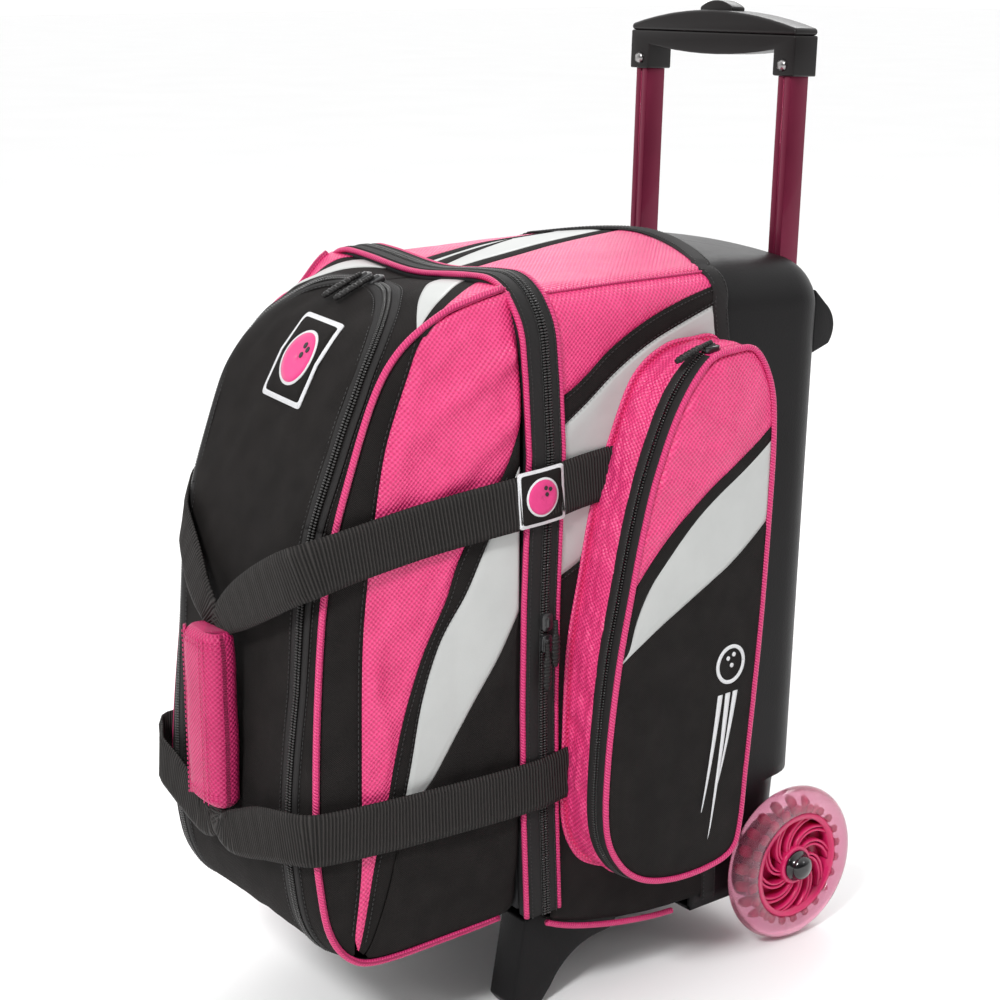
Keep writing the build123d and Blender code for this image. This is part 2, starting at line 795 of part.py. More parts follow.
def slider(name, place):
    """Zipper slider: a small block riding on the teeth. Its plane's Z points away from the bag."""
    with BuildPart() as body:
        with BuildSketch(place.offset(GAP)):
            RectangleRounded(SLIDER_W, SLIDER_LONG, SLIDER_ROUND)
        extrude(amount=SLIDER_H)
        with BuildSketch(place.offset(GAP + SLIDER_H)):
            Rectangle(BRIDGE_W, BRIDGE_LONG)
        extrude(amount=BRIDGE_H)
    save(body.part, name)


def pull(name, place, sideways=0.0):
    """Pull tab over a slider, lying along its plane's local -Y."""
    with BuildPart() as tab:
        with BuildSketch(place.offset(PULL_LIFT)):
            with Locations((sideways, PULL_NOSE - PULL_LONG / 2)):
                RectangleRounded(PULL_W, PULL_LONG, PULL_ROUND)
        extrude(amount=PULL_T)
    save(tab.part, name)


def sliders():
    """Two sliders on the main zipper, two on the flap and one on each side pocket."""
    for name, side in (("main_low", -1), ("main_high", 1)):
        height = MAIN_SLIDER_Z + side * SLIDER_SPACE
        place = Plane(origin=(RIM_X, ZIP_Y, height), x_dir=(0, 1, 0), z_dir=(1, 0, 0))
        slider(f"slider_{name}", place)
        pull(f"pull_{name}", place, side * (PULL_W + 2 * GAP) / 2)
    for name, x in (("flap_left", -SLIDER_SPACE), ("flap_right", SLIDER_SPACE)):
        place = Plane(origin=(x, *FLAP_SLIDER), x_dir=(1, 0, 0), z_dir=FLAP_FACING)
        slider(f"slider_{name}", place)
        pull(f"pull_{name}", place)
    for name, side in (("pocket_left", -1), ("pocket_right", 1)):
        place = Plane(
            origin=(side * (POCKET_ZIP + GAP / 2), *POCKET_SLIDER),
            x_dir=(1, 0, 0),
            z_dir=POCKET_FACING,
        )
        slider(f"slider_{name}", place)
        pull(f"pull_{name}", place)


if __name__ == "__main__":
    side_panels()
    top_panel()
    base_board()
    rim("body_rim", ZIP_Y + GAP, BODY_FRONT)
    rim("lid_rim", LID_REAR, ZIP_Y - GAP)
    ball_rests()
    back_shell()
    rear_liner()
    outer_tubes()
    inner_tubes()
    grip_lower()
    grip_upper()
    release_button()
    wheels()
    axle()
    kick_feet()
    bumpers()
    side_pockets()
    lid()
    flap()
    carry_loops()
    sliders()
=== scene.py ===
"""Looks of the two-ball roller bag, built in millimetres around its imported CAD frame.

X runs across the bag, -Y is the front and +Z is up. The right side is +X.
"""

import json
import math

import bpy
import numpy as np
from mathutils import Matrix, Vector, noise

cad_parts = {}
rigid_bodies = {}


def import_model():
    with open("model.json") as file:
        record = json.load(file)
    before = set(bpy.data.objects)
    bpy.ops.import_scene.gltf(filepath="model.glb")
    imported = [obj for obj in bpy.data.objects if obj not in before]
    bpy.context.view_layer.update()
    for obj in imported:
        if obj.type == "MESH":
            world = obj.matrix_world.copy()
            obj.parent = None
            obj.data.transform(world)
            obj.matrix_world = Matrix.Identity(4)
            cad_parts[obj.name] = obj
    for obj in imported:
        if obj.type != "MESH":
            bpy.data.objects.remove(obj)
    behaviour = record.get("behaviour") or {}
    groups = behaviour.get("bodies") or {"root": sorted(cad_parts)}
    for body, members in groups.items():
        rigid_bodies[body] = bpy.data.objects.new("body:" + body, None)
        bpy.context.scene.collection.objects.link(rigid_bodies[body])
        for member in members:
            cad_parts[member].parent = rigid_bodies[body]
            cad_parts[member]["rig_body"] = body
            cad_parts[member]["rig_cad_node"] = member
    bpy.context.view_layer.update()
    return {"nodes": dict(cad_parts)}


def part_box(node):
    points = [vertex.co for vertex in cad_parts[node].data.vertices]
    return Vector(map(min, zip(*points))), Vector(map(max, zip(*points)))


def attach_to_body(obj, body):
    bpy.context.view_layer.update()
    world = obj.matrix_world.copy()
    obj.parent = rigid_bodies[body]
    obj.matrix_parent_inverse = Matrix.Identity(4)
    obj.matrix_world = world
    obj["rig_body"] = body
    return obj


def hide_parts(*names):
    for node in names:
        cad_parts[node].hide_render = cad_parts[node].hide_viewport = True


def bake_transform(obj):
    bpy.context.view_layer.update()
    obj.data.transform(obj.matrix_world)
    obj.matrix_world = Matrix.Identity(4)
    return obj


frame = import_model()

MM = 0.001
SIDES = (("right", 1), ("left", -1))

# A table of the materials that aren't plain black cloth, each mapped to the name fabric_pink; the table is
# not kept
dict.fromkeys(
    ("cloth_pink", "cloth_grip", "vinyl_white", "piping_pink", "thread_pink"), "fabric_pink")


# ---------------------------------------------------------------- lines and grids
def smooth_line(points, count, closed=False):
    """count points, evenly spaced, on a smooth line through the given ones."""
    knots = np.array(points, float)
    if closed:
        knots = np.vstack([knots[-1], knots, knots[0], knots[1]])
    else:
        knots = np.vstack([2 * knots[0] - knots[1], knots, 2 * knots[-1] - knots[-2]])
    steps = np.linspace(0, 1, 16, endpoint=False)[:, None]
    parts = []
    for a, b, c, d in zip(knots, knots[1:], knots[2:], knots[3:]):
        parts.append(
            0.5 * (2 * b + (c - a) * steps + (2 * a - 5 * b + 4 * c - d) * steps**2
                   + (3 * b - a - 3 * c + d) * steps**3)
        )
    line = np.vstack([*parts, knots[-2][None]])
    return resample(line, count, closed)


def lengths(line):
    """Distance gone at each point of a line."""
    return np.concatenate([[0], np.cumsum(np.linalg.norm(np.diff(line, axis=0), axis=1))])


def resample(line, count, closed=False):
    """The same line with count evenly spaced points."""
    gone = lengths(line)
    at = np.linspace(0, gone[-1], count, endpoint=not closed)
    return np.stack([np.interp(at, gone, line[:, k]) for k in range(line.shape[1])], 1)


def unit(rows):
    """Each row at length one."""
    return rows / np.linalg.norm(rows, axis=1)[:, None]


def spread(normals, count):
    """One outward direction for each of count points."""
    normals = np.asarray(normals, float)
    return np.tile(normals, (count, 1)) if normals.ndim == 1 else normals


def metres(point):
    """Millimetres as metres."""
    return tuple(float(v) * MM for v in point)


def ease(t):
    """Smooth step from 0 to 1."""
    t = np.clip(t, 0, 1)
    return t * t * (3 - 2 * t)


def fold(x, y, z, scale, seed):
    """Smooth noise for folds, from -1 to 1."""
    return noise.noise(Vector((x / scale + seed, y / scale, z / scale)))


def make_object(name, verts, faces, material, uvs=None):
    """A smooth mesh object from points in millimetres."""
    mesh = bpy.data.meshes.new(name)
    mesh.from_pydata((np.asarray(verts, float) * MM).tolist(), [], faces)
    if uvs is not None:
        layer = mesh.uv_layers.new(name="UVMap")
        index = np.empty(len(mesh.loops), int)
        mesh.loops.foreach_get("vertex_index", index)
        layer.data.foreach_set("uv", np.asarray(uvs, float)[index].ravel())
    mesh.polygons.foreach_set("use_smooth", [True] * len(mesh.polygons))
    mesh.materials.append(material)
    obj = bpy.data.objects.new(name, mesh)
    bpy.context.scene.collection.objects.link(obj)
    return obj


def apply_modifiers(obj):
    """Replaces the mesh with its modified one."""
    bpy.context.view_layer.update()
    graph = bpy.context.evaluated_depsgraph_get()
    mesh = bpy.data.meshes.new_from_object(obj.evaluated_get(graph))
    obj.modifiers.clear()
    obj.data = mesh
    return obj


def attach(obj, body, *nodes, slot=None):
    """The piece rides on a body and may stand for CAD nodes; slot is not used."""
    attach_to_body(obj, body)
    if nodes:
        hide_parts(*nodes)
    return obj


def grid_object(name, points, uvs, material, thick=1.2, outward=None, closed=False):
    """A sheet through a grid of points, with real thickness behind it."""
    rows, cols = points.shape[:2]
    index = np.arange(rows * cols).reshape(rows, cols)
    if closed:
        index = np.vstack([index, index[:1]])
    a, b, c, d = index[:-1, :-1], index[1:, :-1], index[1:, 1:], index[:-1, 1:]
    faces = np.stack([a, b, c, d], -1).reshape(-1, 4)
    flat = points.reshape(-1, 3)
    if outward is not None:
        quad = flat[faces]
        normal = np.cross(quad[:, 1] - quad[:, 0], quad[:, 3] - quad[:, 0])
        away = quad.mean(1) - np.array(outward)
        if (normal * away).sum() < 0:
            faces = faces[:, ::-1]
    obj = make_object(name, flat, faces.tolist(), material, uvs.reshape(-1, 2))
    if thick:
        solid = obj.modifiers.new("thick", "SOLIDIFY")
        solid.thickness = thick * MM
        solid.offset = -1
        apply_modifiers(obj)
    return obj


def sweep(name, path, normals, section, material, body=None, *nodes, scale=None, cap=True):
    """A closed section, given as (across, outward) points, carried along a path."""
    path, section = np.asarray(path, float), np.asarray(section, float)
    count, around = len(path), len(section)
    ahead = unit(np.gradient(path, axis=0))
    normals = spread(normals, count)
    normals = unit(normals - (normals * ahead).sum(1)[:, None] * ahead)
    across = np.cross(ahead, normals)
    sizes = np.ones((count, 2)) if scale is None else np.asarray(scale, float)
    points = (path[:, None] + across[:, None] * (section[None, :, :1] * sizes[:, None, :1])
              + normals[:, None] * (section[None, :, 1:] * sizes[:, None, 1:]))
    index = np.arange(count * around).reshape(count, around)
    a, b = index[:-1], index[1:]
    faces = np.stack([a, b, np.roll(b, -1, 1), np.roll(a, -1, 1)], -1).reshape(-1, 4).tolist()
    if cap:
        faces += [index[0].tolist(), index[-1][::-1].tolist()]
    uvs = np.stack(np.meshgrid(lengths(path), lengths(section), indexing="ij"), -1)
    obj = make_object(name, points.reshape(-1, 3), faces, material, uvs.reshape(-1, 2))
    return attach(obj, body, *nodes) if body else obj


def circle(radius, count=10, squash=1.0):
    """Points round a circle, for sweep."""
    angles = np.linspace(0, 2 * math.pi, count, endpoint=False)
    return np.stack([radius * np.cos(angles), -radius * squash * np.sin(angles)], 1)


def flat_section(width, thick, crown=0.0, count=7):
    """A flat band's section, resting on the surface, with round edges."""
    across = np.linspace(-width / 2, width / 2, count)
    bulge = thick + crown * (1 - (2 * across / width) ** 2)
    bulge[[0, -1]] *= 0.45
    top = np.stack([across, bulge], 1)
    return np.vstack([top, [[width / 2, 0], [-width / 2, 0]]])[::-1]


def beads(name, centres, along, outward, size, material):
    """Many small round-ended pieces, such as stitches or zipper teeth, as one mesh."""
    rings, around = 5, 6
    lat = np.linspace(-math.pi / 2, math.pi / 2, rings)
    lon = np.linspace(0, 2 * math.pi, around, endpoint=False)
    ball = np.array([[math.sin(a), math.cos(a) * math.cos(b), math.cos(a) * math.sin(b)]
                     for a in lat[1:-1] for b in lon] + [[-1, 0, 0], [1, 0, 0]])
    ball = np.sign(ball) * np.abs(ball) ** 0.8 * np.array(size) / 2
    faces = []
    for ring in range(rings - 3):
        for k in range(around):
            n = (k + 1) % around
            faces.append((ring * around + k, ring * around + n,
                          (ring + 1) * around + n, (ring + 1) * around + k))
    low, high, last = (rings - 2) * around, (rings - 2) * around + 1, (rings - 3) * around
    for k in range(around):
        n = (k + 1) % around
        faces.append((low, n, k))
        faces.append((high, last + k, last + n))
    along = unit(np.asarray(along, float))
    outward = np.asarray(outward, float)
    outward = unit(outward - (outward * along).sum(1)[:, None] * along)
    across = np.cross(outward, along)
    centres = np.asarray(centres, float)
    points = (centres[:, None] + ball[None, :, :1] * along[:, None]
              + ball[None, :, 1:2] * across[:, None] + ball[None, :, 2:] * outward[:, None])
    copies = [[corner + k * len(ball) for corner in face] for k in range(len(centres)) for face in faces]
    return make_object(name, points.reshape(-1, 3), copies, material)


def bead_row(name, path, normals, body, size, material, pitch, lift):
    """A row of beads, each as long, wide and high as size, lying on a surface."""
    path = np.asarray(path, float)
    both = np.hstack([path, spread(normals, len(path))])
    both = resample(both, max(3, int(lengths(path)[-1] / pitch)))
    centres, out = both[:, :3], unit(both[:, 3:])
    obj = beads(name, centres + out * lift, np.gradient(centres, axis=0), out, size, material)
    return attach(obj, body)


def stitch_line(name, path, normals, body, pitch=3.4, lift=0.35, material=None):
    """A row of thread stitches."""
    bead_row(name, path, normals, body, (pitch * 0.72, 0.9, 0.8), material or thread_black, pitch, lift)


def teeth(name, path, normals, body, size=(1.35, 3.4, 1.7), lift=0.8):
    """One side of a coil zipper: a row of short beads across its line."""
    bead_row(name, path, normals, body, size, coil_black, 2.0, lift)


def path_normals(surface, a_b, step=1.0):
    """Surface points and outward directions at a list of surface coordinates."""
    points = np.array([surface(a, b, 0.0) for a, b in a_b])
    raised = np.array([surface(a, b, step) for a, b in a_b])
    return points, raised - points


def panel(name, surface, low, high, material, body, *nodes, size=4.0, puff=1.1, wrinkle=None,
          eased=False, centre=(0, 40, 300), stretch=1.0):
    """A sewn panel between two lines on a surface, full in the middle and drawn in at its seams."""
    longest = max(lengths(np.array(line, float))[-1] for line in (low, high))
    cols = max(6, int(longest / size))
    first, last = smooth_line(low, cols), smooth_line(high, cols)
    gap = np.linalg.norm(last - first, axis=1)
    rows = max(5, int(gap.max() / size))
    share = np.linspace(0, 1, rows + 1)
    if eased:
        share = np.sin(share * math.pi / 2)
    points = np.empty((cols, rows + 1, 3))
    uvs = np.empty((cols, rows + 1, 2))
    for i in range(cols):
        ends = min(i, cols - 1 - i) * longest / cols
        for j, t in enumerate(share):
            a, b = first[i] * (1 - t) + last[i] * t
            edge = min(min(t, 1 - t) * gap[i], ends + 1.5)
            lift = puff * (ease(edge / 7) - 0.35)
            if wrinkle is not None:
                lift += wrinkle(a, b) * ease(edge / 9)
            points[i, j] = surface(a, b, lift)
            uvs[i, j] = a * stretch, b
    obj = grid_object(name, points, uvs, material, 1.4, centre)
    return attach(obj, body, *nodes) if body else obj


# ---------------------------------------------------------------- materials
class Nodes:
    """Short helper for building a material's node tree."""

    def __init__(self, name, colour, roughness, **values):
        self.material = bpy.data.materials.new(name)
        self.material.use_nodes = True
        self.tree = self.material.node_tree
        self.shader = self.tree.nodes["Principled BSDF"]
        self.set("Base Color", (*colour, 1))
        self.set("Roughness", roughness)
        for key, value in values.items():
            self.set(key.replace("_", " "), value)

    def set(self, socket, value):
        self.shader.inputs[socket].default_value = value

    def node(self, kind, **settings):
        made = self.tree.nodes.new(kind)
        for key, value in settings.items():
            setattr(made, key, value)
        return made

    def link(self, source, target):
        self.tree.links.new(source, target)

    def math(self, operation, first, second=None, third=None):
        made = self.node("ShaderNodeMath", operation=operation)
        for socket, value in zip(made.inputs, (first, second, third)):
            if value is None:
                continue
            if isinstance(value, (int, float)):
                socket.default_value = value
            else:
                self.link(value, socket)
        return made.outputs[0]

    def coordinates(self):
        """Surface coordinates in millimetres, along and across."""
        source = self.node("ShaderNodeTexCoord")
        split = self.node("ShaderNodeSeparateXYZ")
        self.link(source.outputs["UV"], split.inputs[0])
        return split.outputs[0], split.outputs[1]

    def noise(self, scale, detail=3.0, rough=0.5):
        """Noise over the object, at a scale in features per millimetre."""
        source = self.node("ShaderNodeTexCoord")
        made = self.node("ShaderNodeTexNoise")
        made.inputs["Scale"].default_value = scale / MM
        made.inputs["Detail"].default_value = detail
        made.inputs["Roughness"].default_value = rough
        self.link(source.outputs["Object"], made.inputs["Vector"])
        return made.outputs["Fac"]

    def waves(self, value, pitch):
        """A sine wave of the given pitch in millimetres, from -1 to 1."""
        return self.math("SINE", self.math("MULTIPLY", value, 2 * math.pi / pitch))

    def mix_colour(self, factor, first, second):
        made = self.node("ShaderNodeMix", data_type="RGBA")
        self.link(factor, made.inputs[0])
        made.inputs[6].default_value = (*first, 1)
        made.inputs[7].default_value = (*second, 1)
        self.link(made.outputs[2], self.shader.inputs["Base Color"])

    def vary_roughness(self, value, low, high):
        made = self.node("ShaderNodeMapRange")
        self.link(value, made.inputs["Value"])
        made.inputs["To Min"].default_value = low
        made.inputs["To Max"].default_value = high
        self.link(made.outputs[0], self.shader.inputs["Roughness"])

    def bump(self, height, distance):
        """Relief of the given height in millimetres."""
        made = self.node("ShaderNodeBump")
        made.inputs["Distance"].default_value = distance * MM
        made.inputs["Strength"].default_value = 1.0
        self.link(height, made.inputs["Height"])
        self.link(made.outputs[0], self.shader.inputs["Normal"])


def weave_material(name, dark, light, pitch, relief, roughness, spec, sheen=0.0):
    """Cloth of interlaced yarns: bumps in a checker, with painted highlight on the yarns' backs and painted
    shade between them.
    """
    made = Nodes(name, light, roughness, Sheen_Weight=sheen, Sheen_Roughness=0.4,
                 Specular_IOR_Level=spec)
    u, v = made.coordinates()
    checker = made.math("MULTIPLY", made.waves(u, pitch), made.waves(v, pitch))
    height = made.math("MULTIPLY_ADD", checker, 0.5, 0.5)
    cloud = made.noise(0.045, 4.0)
    fleck = made.noise(0.9, 2.0)
    shade = made.math("MULTIPLY_ADD", cloud, 0.5, -0.26)
    shade = made.math("MULTIPLY_ADD", fleck, 0.25, shade)
    # The colour follows the bump height: painted highlight on the yarns' backs and painted shade in the
    # hollows, over a random cloud and fleck tone
    made.mix_colour(made.math("MULTIPLY_ADD", height, 0.75, shade), dark, light)
    made.vary_roughness(fleck, roughness - 0.08, roughness + 0.1)
    made.bump(made.math("MULTIPLY_ADD", fleck, 0.15, height), relief)
    return made.material


def plastic_material(name, colour, roughness, grain=0.05, scale=1.2, coat=0.0, metallic=0.0, spec=0.5):
    """Moulded plastic, metal or rubber with a fine grain and uneven gloss."""
    made = Nodes(name, colour, roughness, Coat_Weight=coat, Metallic=metallic, Specular_IOR_Level=spec)
    fine = made.noise(scale, 2.0)
    cloud = made.noise(0.03, 4.0, 0.6)
    made.mix_colour(cloud, tuple(c * 0.82 for c in colour), colour)
    made.vary_roughness(cloud, roughness - 0.05, roughness + 0.08)
    made.bump(fine, grain)
    return made.material


def ribbed_material(name, dark, light, pitch, relief, roughness, slope=0.0, spec=0.15):
    """Cords and tapes whose ribs cross their length, or wind round them with slope; rib crests are painted
    lighter and grooves darker, as light and shade.
    """
    made = Nodes(name, light, roughness, Specular_IOR_Level=spec)
    u, v = made.coordinates()
    wave = made.waves(made.math("MULTIPLY_ADD", v, slope, u), pitch)
    height = made.math("MULTIPLY_ADD", wave, 0.5, 0.5)
    fleck = made.noise(1.1, 2.0)
    # The colour follows the rib height: painted highlight on the crests and painted shade in the grooves,
    # plus a random fleck tone
    shade = made.math("MULTIPLY_ADD", height, 0.6, made.math("MULTIPLY", fleck, 0.4))
    made.mix_colour(shade, dark, light)
    made.bump(made.math("MULTIPLY_ADD", fleck, 0.15, height), relief)
    return made.material


def tyre_material():
    """Clear pink urethane."""
    made = Nodes("tyre_clear", (0.80, 0.26, 0.44), 0.14, Transmission_Weight=0.82, IOR=1.42)
    cloud = made.noise(0.05, 3.0)
    made.mix_colour(cloud, (0.72, 0.20, 0.37), (0.84, 0.46, 0.56))
    made.vary_roughness(cloud, 0.10, 0.24)
    made.bump(cloud, 0.3)
    return made.material


def grey(value):
    """A grey as linear light."""
    return value, value, value


CORD_DARK, CORD_LIGHT = grey(0.008), (0.03, 0.028, 0.028)

# Cloths: darkest and lightest colour, between which the weave's painted shade and highlight and a random tone
# move; yarn pitch, relief, roughness and gloss
fabric_black = weave_material("cloth_black", grey(0.003), (0.027, 0.0235, 0.0225), 1.5, 0.35, 0.8, 0.10)
fabric_pink = weave_material("cloth_pink", (0.46, 0.006, 0.09), (0.94, 0.080, 0.27), 3.7, 0.65, 0.34, 0.5)
grip_pink = weave_material("cloth_grip", (0.34, 0.004, 0.07), (0.62, 0.042, 0.17), 3.7, 0.6, 0.42, 0.3)
lining_black = weave_material("cloth_lining", (0.01, 0.01, 0.011), (0.03, 0.03, 0.032), 1.0, 0.06, 0.55, 0.15)
thread_white = weave_material("thread_white", (0.55, 0.55, 0.57), (0.85, 0.85, 0.86), 0.9, 0.15, 0.55,
                              0.3, 0.2)
thread_bright = weave_material("thread_pink_bright", (0.60, 0.02, 0.16), (0.85, 0.07, 0.28), 0.9, 0.15, 0.5,
                               0.3, 0.2)

# Cords and tapes: darkest and lightest colour, between which the ribs' painted shade and highlight and a
# random fleck move; rib pitch, relief and roughness
piping_pink = ribbed_material("piping_pink", (0.42, 0.008, 0.09), (0.8, 0.06, 0.23), 2.2, 0.5, 0.42, 0.5, 0.4)
webbing = ribbed_material("webbing_black", grey(0.002), (0.045, 0.041, 0.039), 2.6, 0.6, 0.6)
tape_black = ribbed_material("zip_tape", CORD_DARK, CORD_LIGHT, 0.8, 0.08, 0.65)
pull_black = ribbed_material("pull_black", CORD_DARK, CORD_LIGHT, 2.4, 0.3, 0.4)

# Vinyl, plastics, foam and metals: colour, roughness, grain's height and scale
vinyl_white = plastic_material("vinyl_white", (0.50, 0.51, 0.50), 0.36, 0.05, 0.8)
thread_black = plastic_material("thread_black", grey(0.012), 0.5, 0.05, 3.0)
thread_pink = plastic_material("thread_pink", (0.62, 0.02, 0.16), 0.5, 0.05, 3.0)
coil_black = plastic_material("coil_black", (0.03, 0.029, 0.028), 0.32, 0.02, 3.0, coat=0.2)
shell_plastic = plastic_material("shell_plastic", (0.007, 0.0065, 0.007), 0.42, 0.16, 0.9, spec=0.16)
grip_plastic = plastic_material("grip_plastic", (0.010, 0.0085, 0.0085), 0.32, 0.05, 0.9, spec=0.24)
hub_pink = plastic_material("hub_plastic", (0.66, 0.018, 0.13), 0.28, 0.03, 0.5, coat=0.15, spec=0.4)
steel = plastic_material("steel", (0.38, 0.37, 0.37), 0.28, 0.02, 1.5, metallic=1.0)
nut_black = plastic_material("nut_black", (0.012, 0.012, 0.013), 0.16, 0.02, 0.6, coat=0.5)
zip_metal = plastic_material("zip_metal", (0.02, 0.02, 0.021), 0.3, 0.03, 1.5, coat=0.3)
foam = plastic_material("foam", (0.035, 0.035, 0.038), 0.9, 0.35, 0.55)
board_grey = plastic_material("board", (0.06, 0.058, 0.055), 0.75, 0.12, 0.7)
tube_plain = plastic_material("tube_plain", (0.42, 0.42, 0.43), 0.35, 0.02, 2.0, metallic=1.0)
tube_burgundy = plastic_material("tube_anodised", (0.19, 0.012, 0.045), 0.3, 0.02, 2.0, coat=0.2,
                                 metallic=0.75)
tyre_clear = tyre_material()


# ---------------------------------------------------------------- shape of the main body
FRONT_Y, SEAM_Y = -39.0, 120.0
RAMP = (0.0, 0.15, 0.4, 1.0)


def body_section(y):
    """Half width, shoulder height and shoulder radius of the fabric body at a depth."""
    t = (y - FRONT_Y) / (SEAM_Y - FRONT_Y)
    return (np.interp(t, RAMP, (123.4, 121.8, 121.0, 120.6)),
            np.interp(t, RAMP, (555.0, 551.5, 549.0, 547.5)),
            np.interp(t, RAMP, (40.0, 30.0, 22.0, 18.0)))


FLOOR_Y, FLOOR_Z = (-42, -25, -1, 29, 60, 83, 120), (79, 71.5, 64, 57, 52, 50, 48)


def body_floor(y):
    """Height of the fabric body's bottom edge."""
    return np.interp(y, FLOOR_Y, FLOOR_Z)


def body_side(side):
    """The outer side: (y, z) and how far out to a point."""
    corner = 9.0

    def at(y, z, out):
        half, top, radius = body_section(y)
        low = body_floor(y)
        t = min(max((y - FRONT_Y) / (SEAM_Y - FRONT_Y), 0), 1)
        swell = 2.2 * math.sin(math.pi * t) * min(1, max(0, (z - low) / 60))
        if z > top - radius:
            rise = min((z - top + radius) / radius, 0.999)
            flat = math.sqrt(1 - rise * rise)
            x = half - radius + radius * flat + swell * flat
            return side * (x + out * flat), y, z + out * rise
        if z < low + corner:
            drop = min((low + corner - z) / corner, 0.999)
            flat = math.sqrt(1 - drop * drop)
            return side * (half - corner + corner * flat + out * flat), y, z - out * drop
        return side * (half + swell + out), y, z
    return at


def roof_height(x, y):
    """Height of the roof and of the shell's dome behind it."""
    middle = np.interp(y, (-39, 0, 60, 143, 200, 237), (547, 551, 556, 561.5, 554, 550))
    side = np.interp(y, (-39, 20, 143, 237), (548, 547.5, 548, 543))
    return side + (middle - side) * max(0.0, 1 - (x / 114) ** 2)


def roof(x, y, out):
    """The fabric roof: (x, y) and how far up to a point."""
    half, top, radius = body_section(y)
    over = abs(x) - (half - radius)
    drop = radius - math.sqrt(max(radius**2 - over**2, 0)) if over > 0 else 0
    return x, y, roof_height(x, y) - drop + out


def seam_z(y):
    """Height of the side panel's top seam."""
    half, top, radius = body_section(y)
    over = 110 - (half - radius)
    return top - radius + math.sqrt(radius**2 - over**2)


def roof_back(x):
    """Depth at which the roof meets the shell."""
    return 143 - 33 * (abs(x) / 112) ** 1.6


def side_folds(seed, strength):
    """Slanting folds of a slack panel."""
    def at(a, b):
        along = (a * 0.55 + b * 0.83)
        across = (b * 0.55 - a * 0.83)
        return strength * (fold(across, along * 0.35, seed, 26, seed)
                           + 0.6 * fold(across, along * 0.5, seed, 12, seed + 7))
    return at


PINK_LOW = [(-39, 471), (-16, 483), (11, 503), (43, 519), (73, 529), (100, 535), (120, 538)]
WHITE_HIGH = [(-39, 449), (-13, 465), (16, 486), (48, 503), (86, 516), (120, 526)]
WHITE_LOW = [(-39, 343), (-13, 354), (30, 374), (75, 405), (120, 440)]
SEAM_LINE = [(y, seam_z(y) - 0.3) for y in (-39, 0, 40, 80, 110)]
BOTTOM_LINE = [(y, body_floor(y) + 0.3) for y in (-39, -10, 21, 61, 90, 120)]

for name, side in SIDES:
    skin = body_side(side)
    panel(f"side_pink_{name}", skin, PINK_LOW, [*SEAM_LINE, (119, seam_z(119) - 1)], fabric_pink, "bag",
          f"side_panel_{name}", eased=True, wrinkle=side_folds(3, 0.9))
    panel(f"side_band_{name}", skin, WHITE_HIGH, PINK_LOW, fabric_black, "bag", puff=0.8)
    panel(f"side_white_{name}", skin, WHITE_LOW, WHITE_HIGH, vinyl_white, "bag", wrinkle=side_folds(5, 0.5))
    panel(f"side_black_{name}", skin, BOTTOM_LINE, WHITE_LOW, fabric_black, "bag", size=5,
          wrinkle=side_folds(9, 1.0))

# Lines between the roof's stripes, from the zipper back
ROOF_LINES = [
    [(-110, -38), (-110, 112)],
    [(-50, -38), (-62, 0), (-84, 60), (-88, 118)],
    [(-37, -38), (-50, 0), (-72, 60), (-77, 124)],
    [(-4, -38), (-14, 20), (-26, 80), (-33, 140)],
    [(10, -38), (0, 20), (-12, 80), (-19, 142)],
    [(110, -38), (110, 112)],
]


def to_back(line):
    """The line carried on to the roof's rear edge."""
    x, y = line[-1]
    return [*line[:-1], (x, roof_back(x) + 3)]


ROOF_STRIPES = (("pink_left", fabric_pink), ("edge_left", fabric_black), ("white", vinyl_white),
                ("edge_right", fabric_black), ("pink_right", fabric_pink))
for k, (name, cloth) in enumerate(ROOF_STRIPES):
    panel(f"roof_{name}", roof, to_back(ROOF_LINES[k]), to_back(ROOF_LINES[k + 1]), cloth, "bag",
          *(["top_panel"] if name == "white" else []), puff=0.7,
          wrinkle=side_folds(12 + k, 0.45) if cloth is fabric_pink else None)

# Black wedge sewn into the white stripe's front end
panel("roof_wedge", lambda x, y, out: roof(x, y, out + 0.9),
      [(-28, -38), (-42, 0), (-55, 36), (-66, 68)], [(-14, -38), (-32, 0), (-50, 38), (-65, 69)],
      fabric_black, "bag", puff=0.5)

# Piped seam of side and roof, and stitched rows beside the seams
for name, side in SIDES:
    skin = body_side(side)
    points, out = path_normals(skin, [(y, seam_z(y)) for y in np.linspace(-37, 110, 40)])
    sweep(f"roof_seam_{name}", points, out, circle(1.3, 8), piping_pink, "bag")
    for tag, low, dz in (("pink", PINK_LOW, -2.6), ("white", WHITE_HIGH, 2.4), ("low", WHITE_LOW, -2.6)):
        line = smooth_line(low, 60) + np.array([0, dz])
        points, out = path_normals(skin, line[:-1])
        stitch_line(f"stitch_{tag}_{name}", points, out, "bag", lift=1.0)

# Bottom cloth
points = np.array([[(113.5 * a, y, body_floor(y) + 0.4 - 1.5 * (1 - a * a)) for a in np.linspace(-1, 1, 30)]
                   for y in np.linspace(FRONT_Y, SEAM_Y, 24)])
base = grid_object("base_cloth", points, points[:, :, :2], fabric_black, 3.0, (0, 40, 300))
attach(base, "bag", "base_board")


# ---------------------------------------------------------------- moulded shell
SHELL_HALF, SHELL_FRONT, SHELL_LOW, CORNER = 119.6, 104.0, 42.0, 34.0
SHELL_MIDDLE = (0, 150, 300)


def shell_rear(z):
    """Depth of the shell's back at a height, with the step over the wheels."""
    step = np.interp(z, (42, 124, 132, 134), (21, 15, 14, 0))
    return 220.6 + 0.032 * z - step


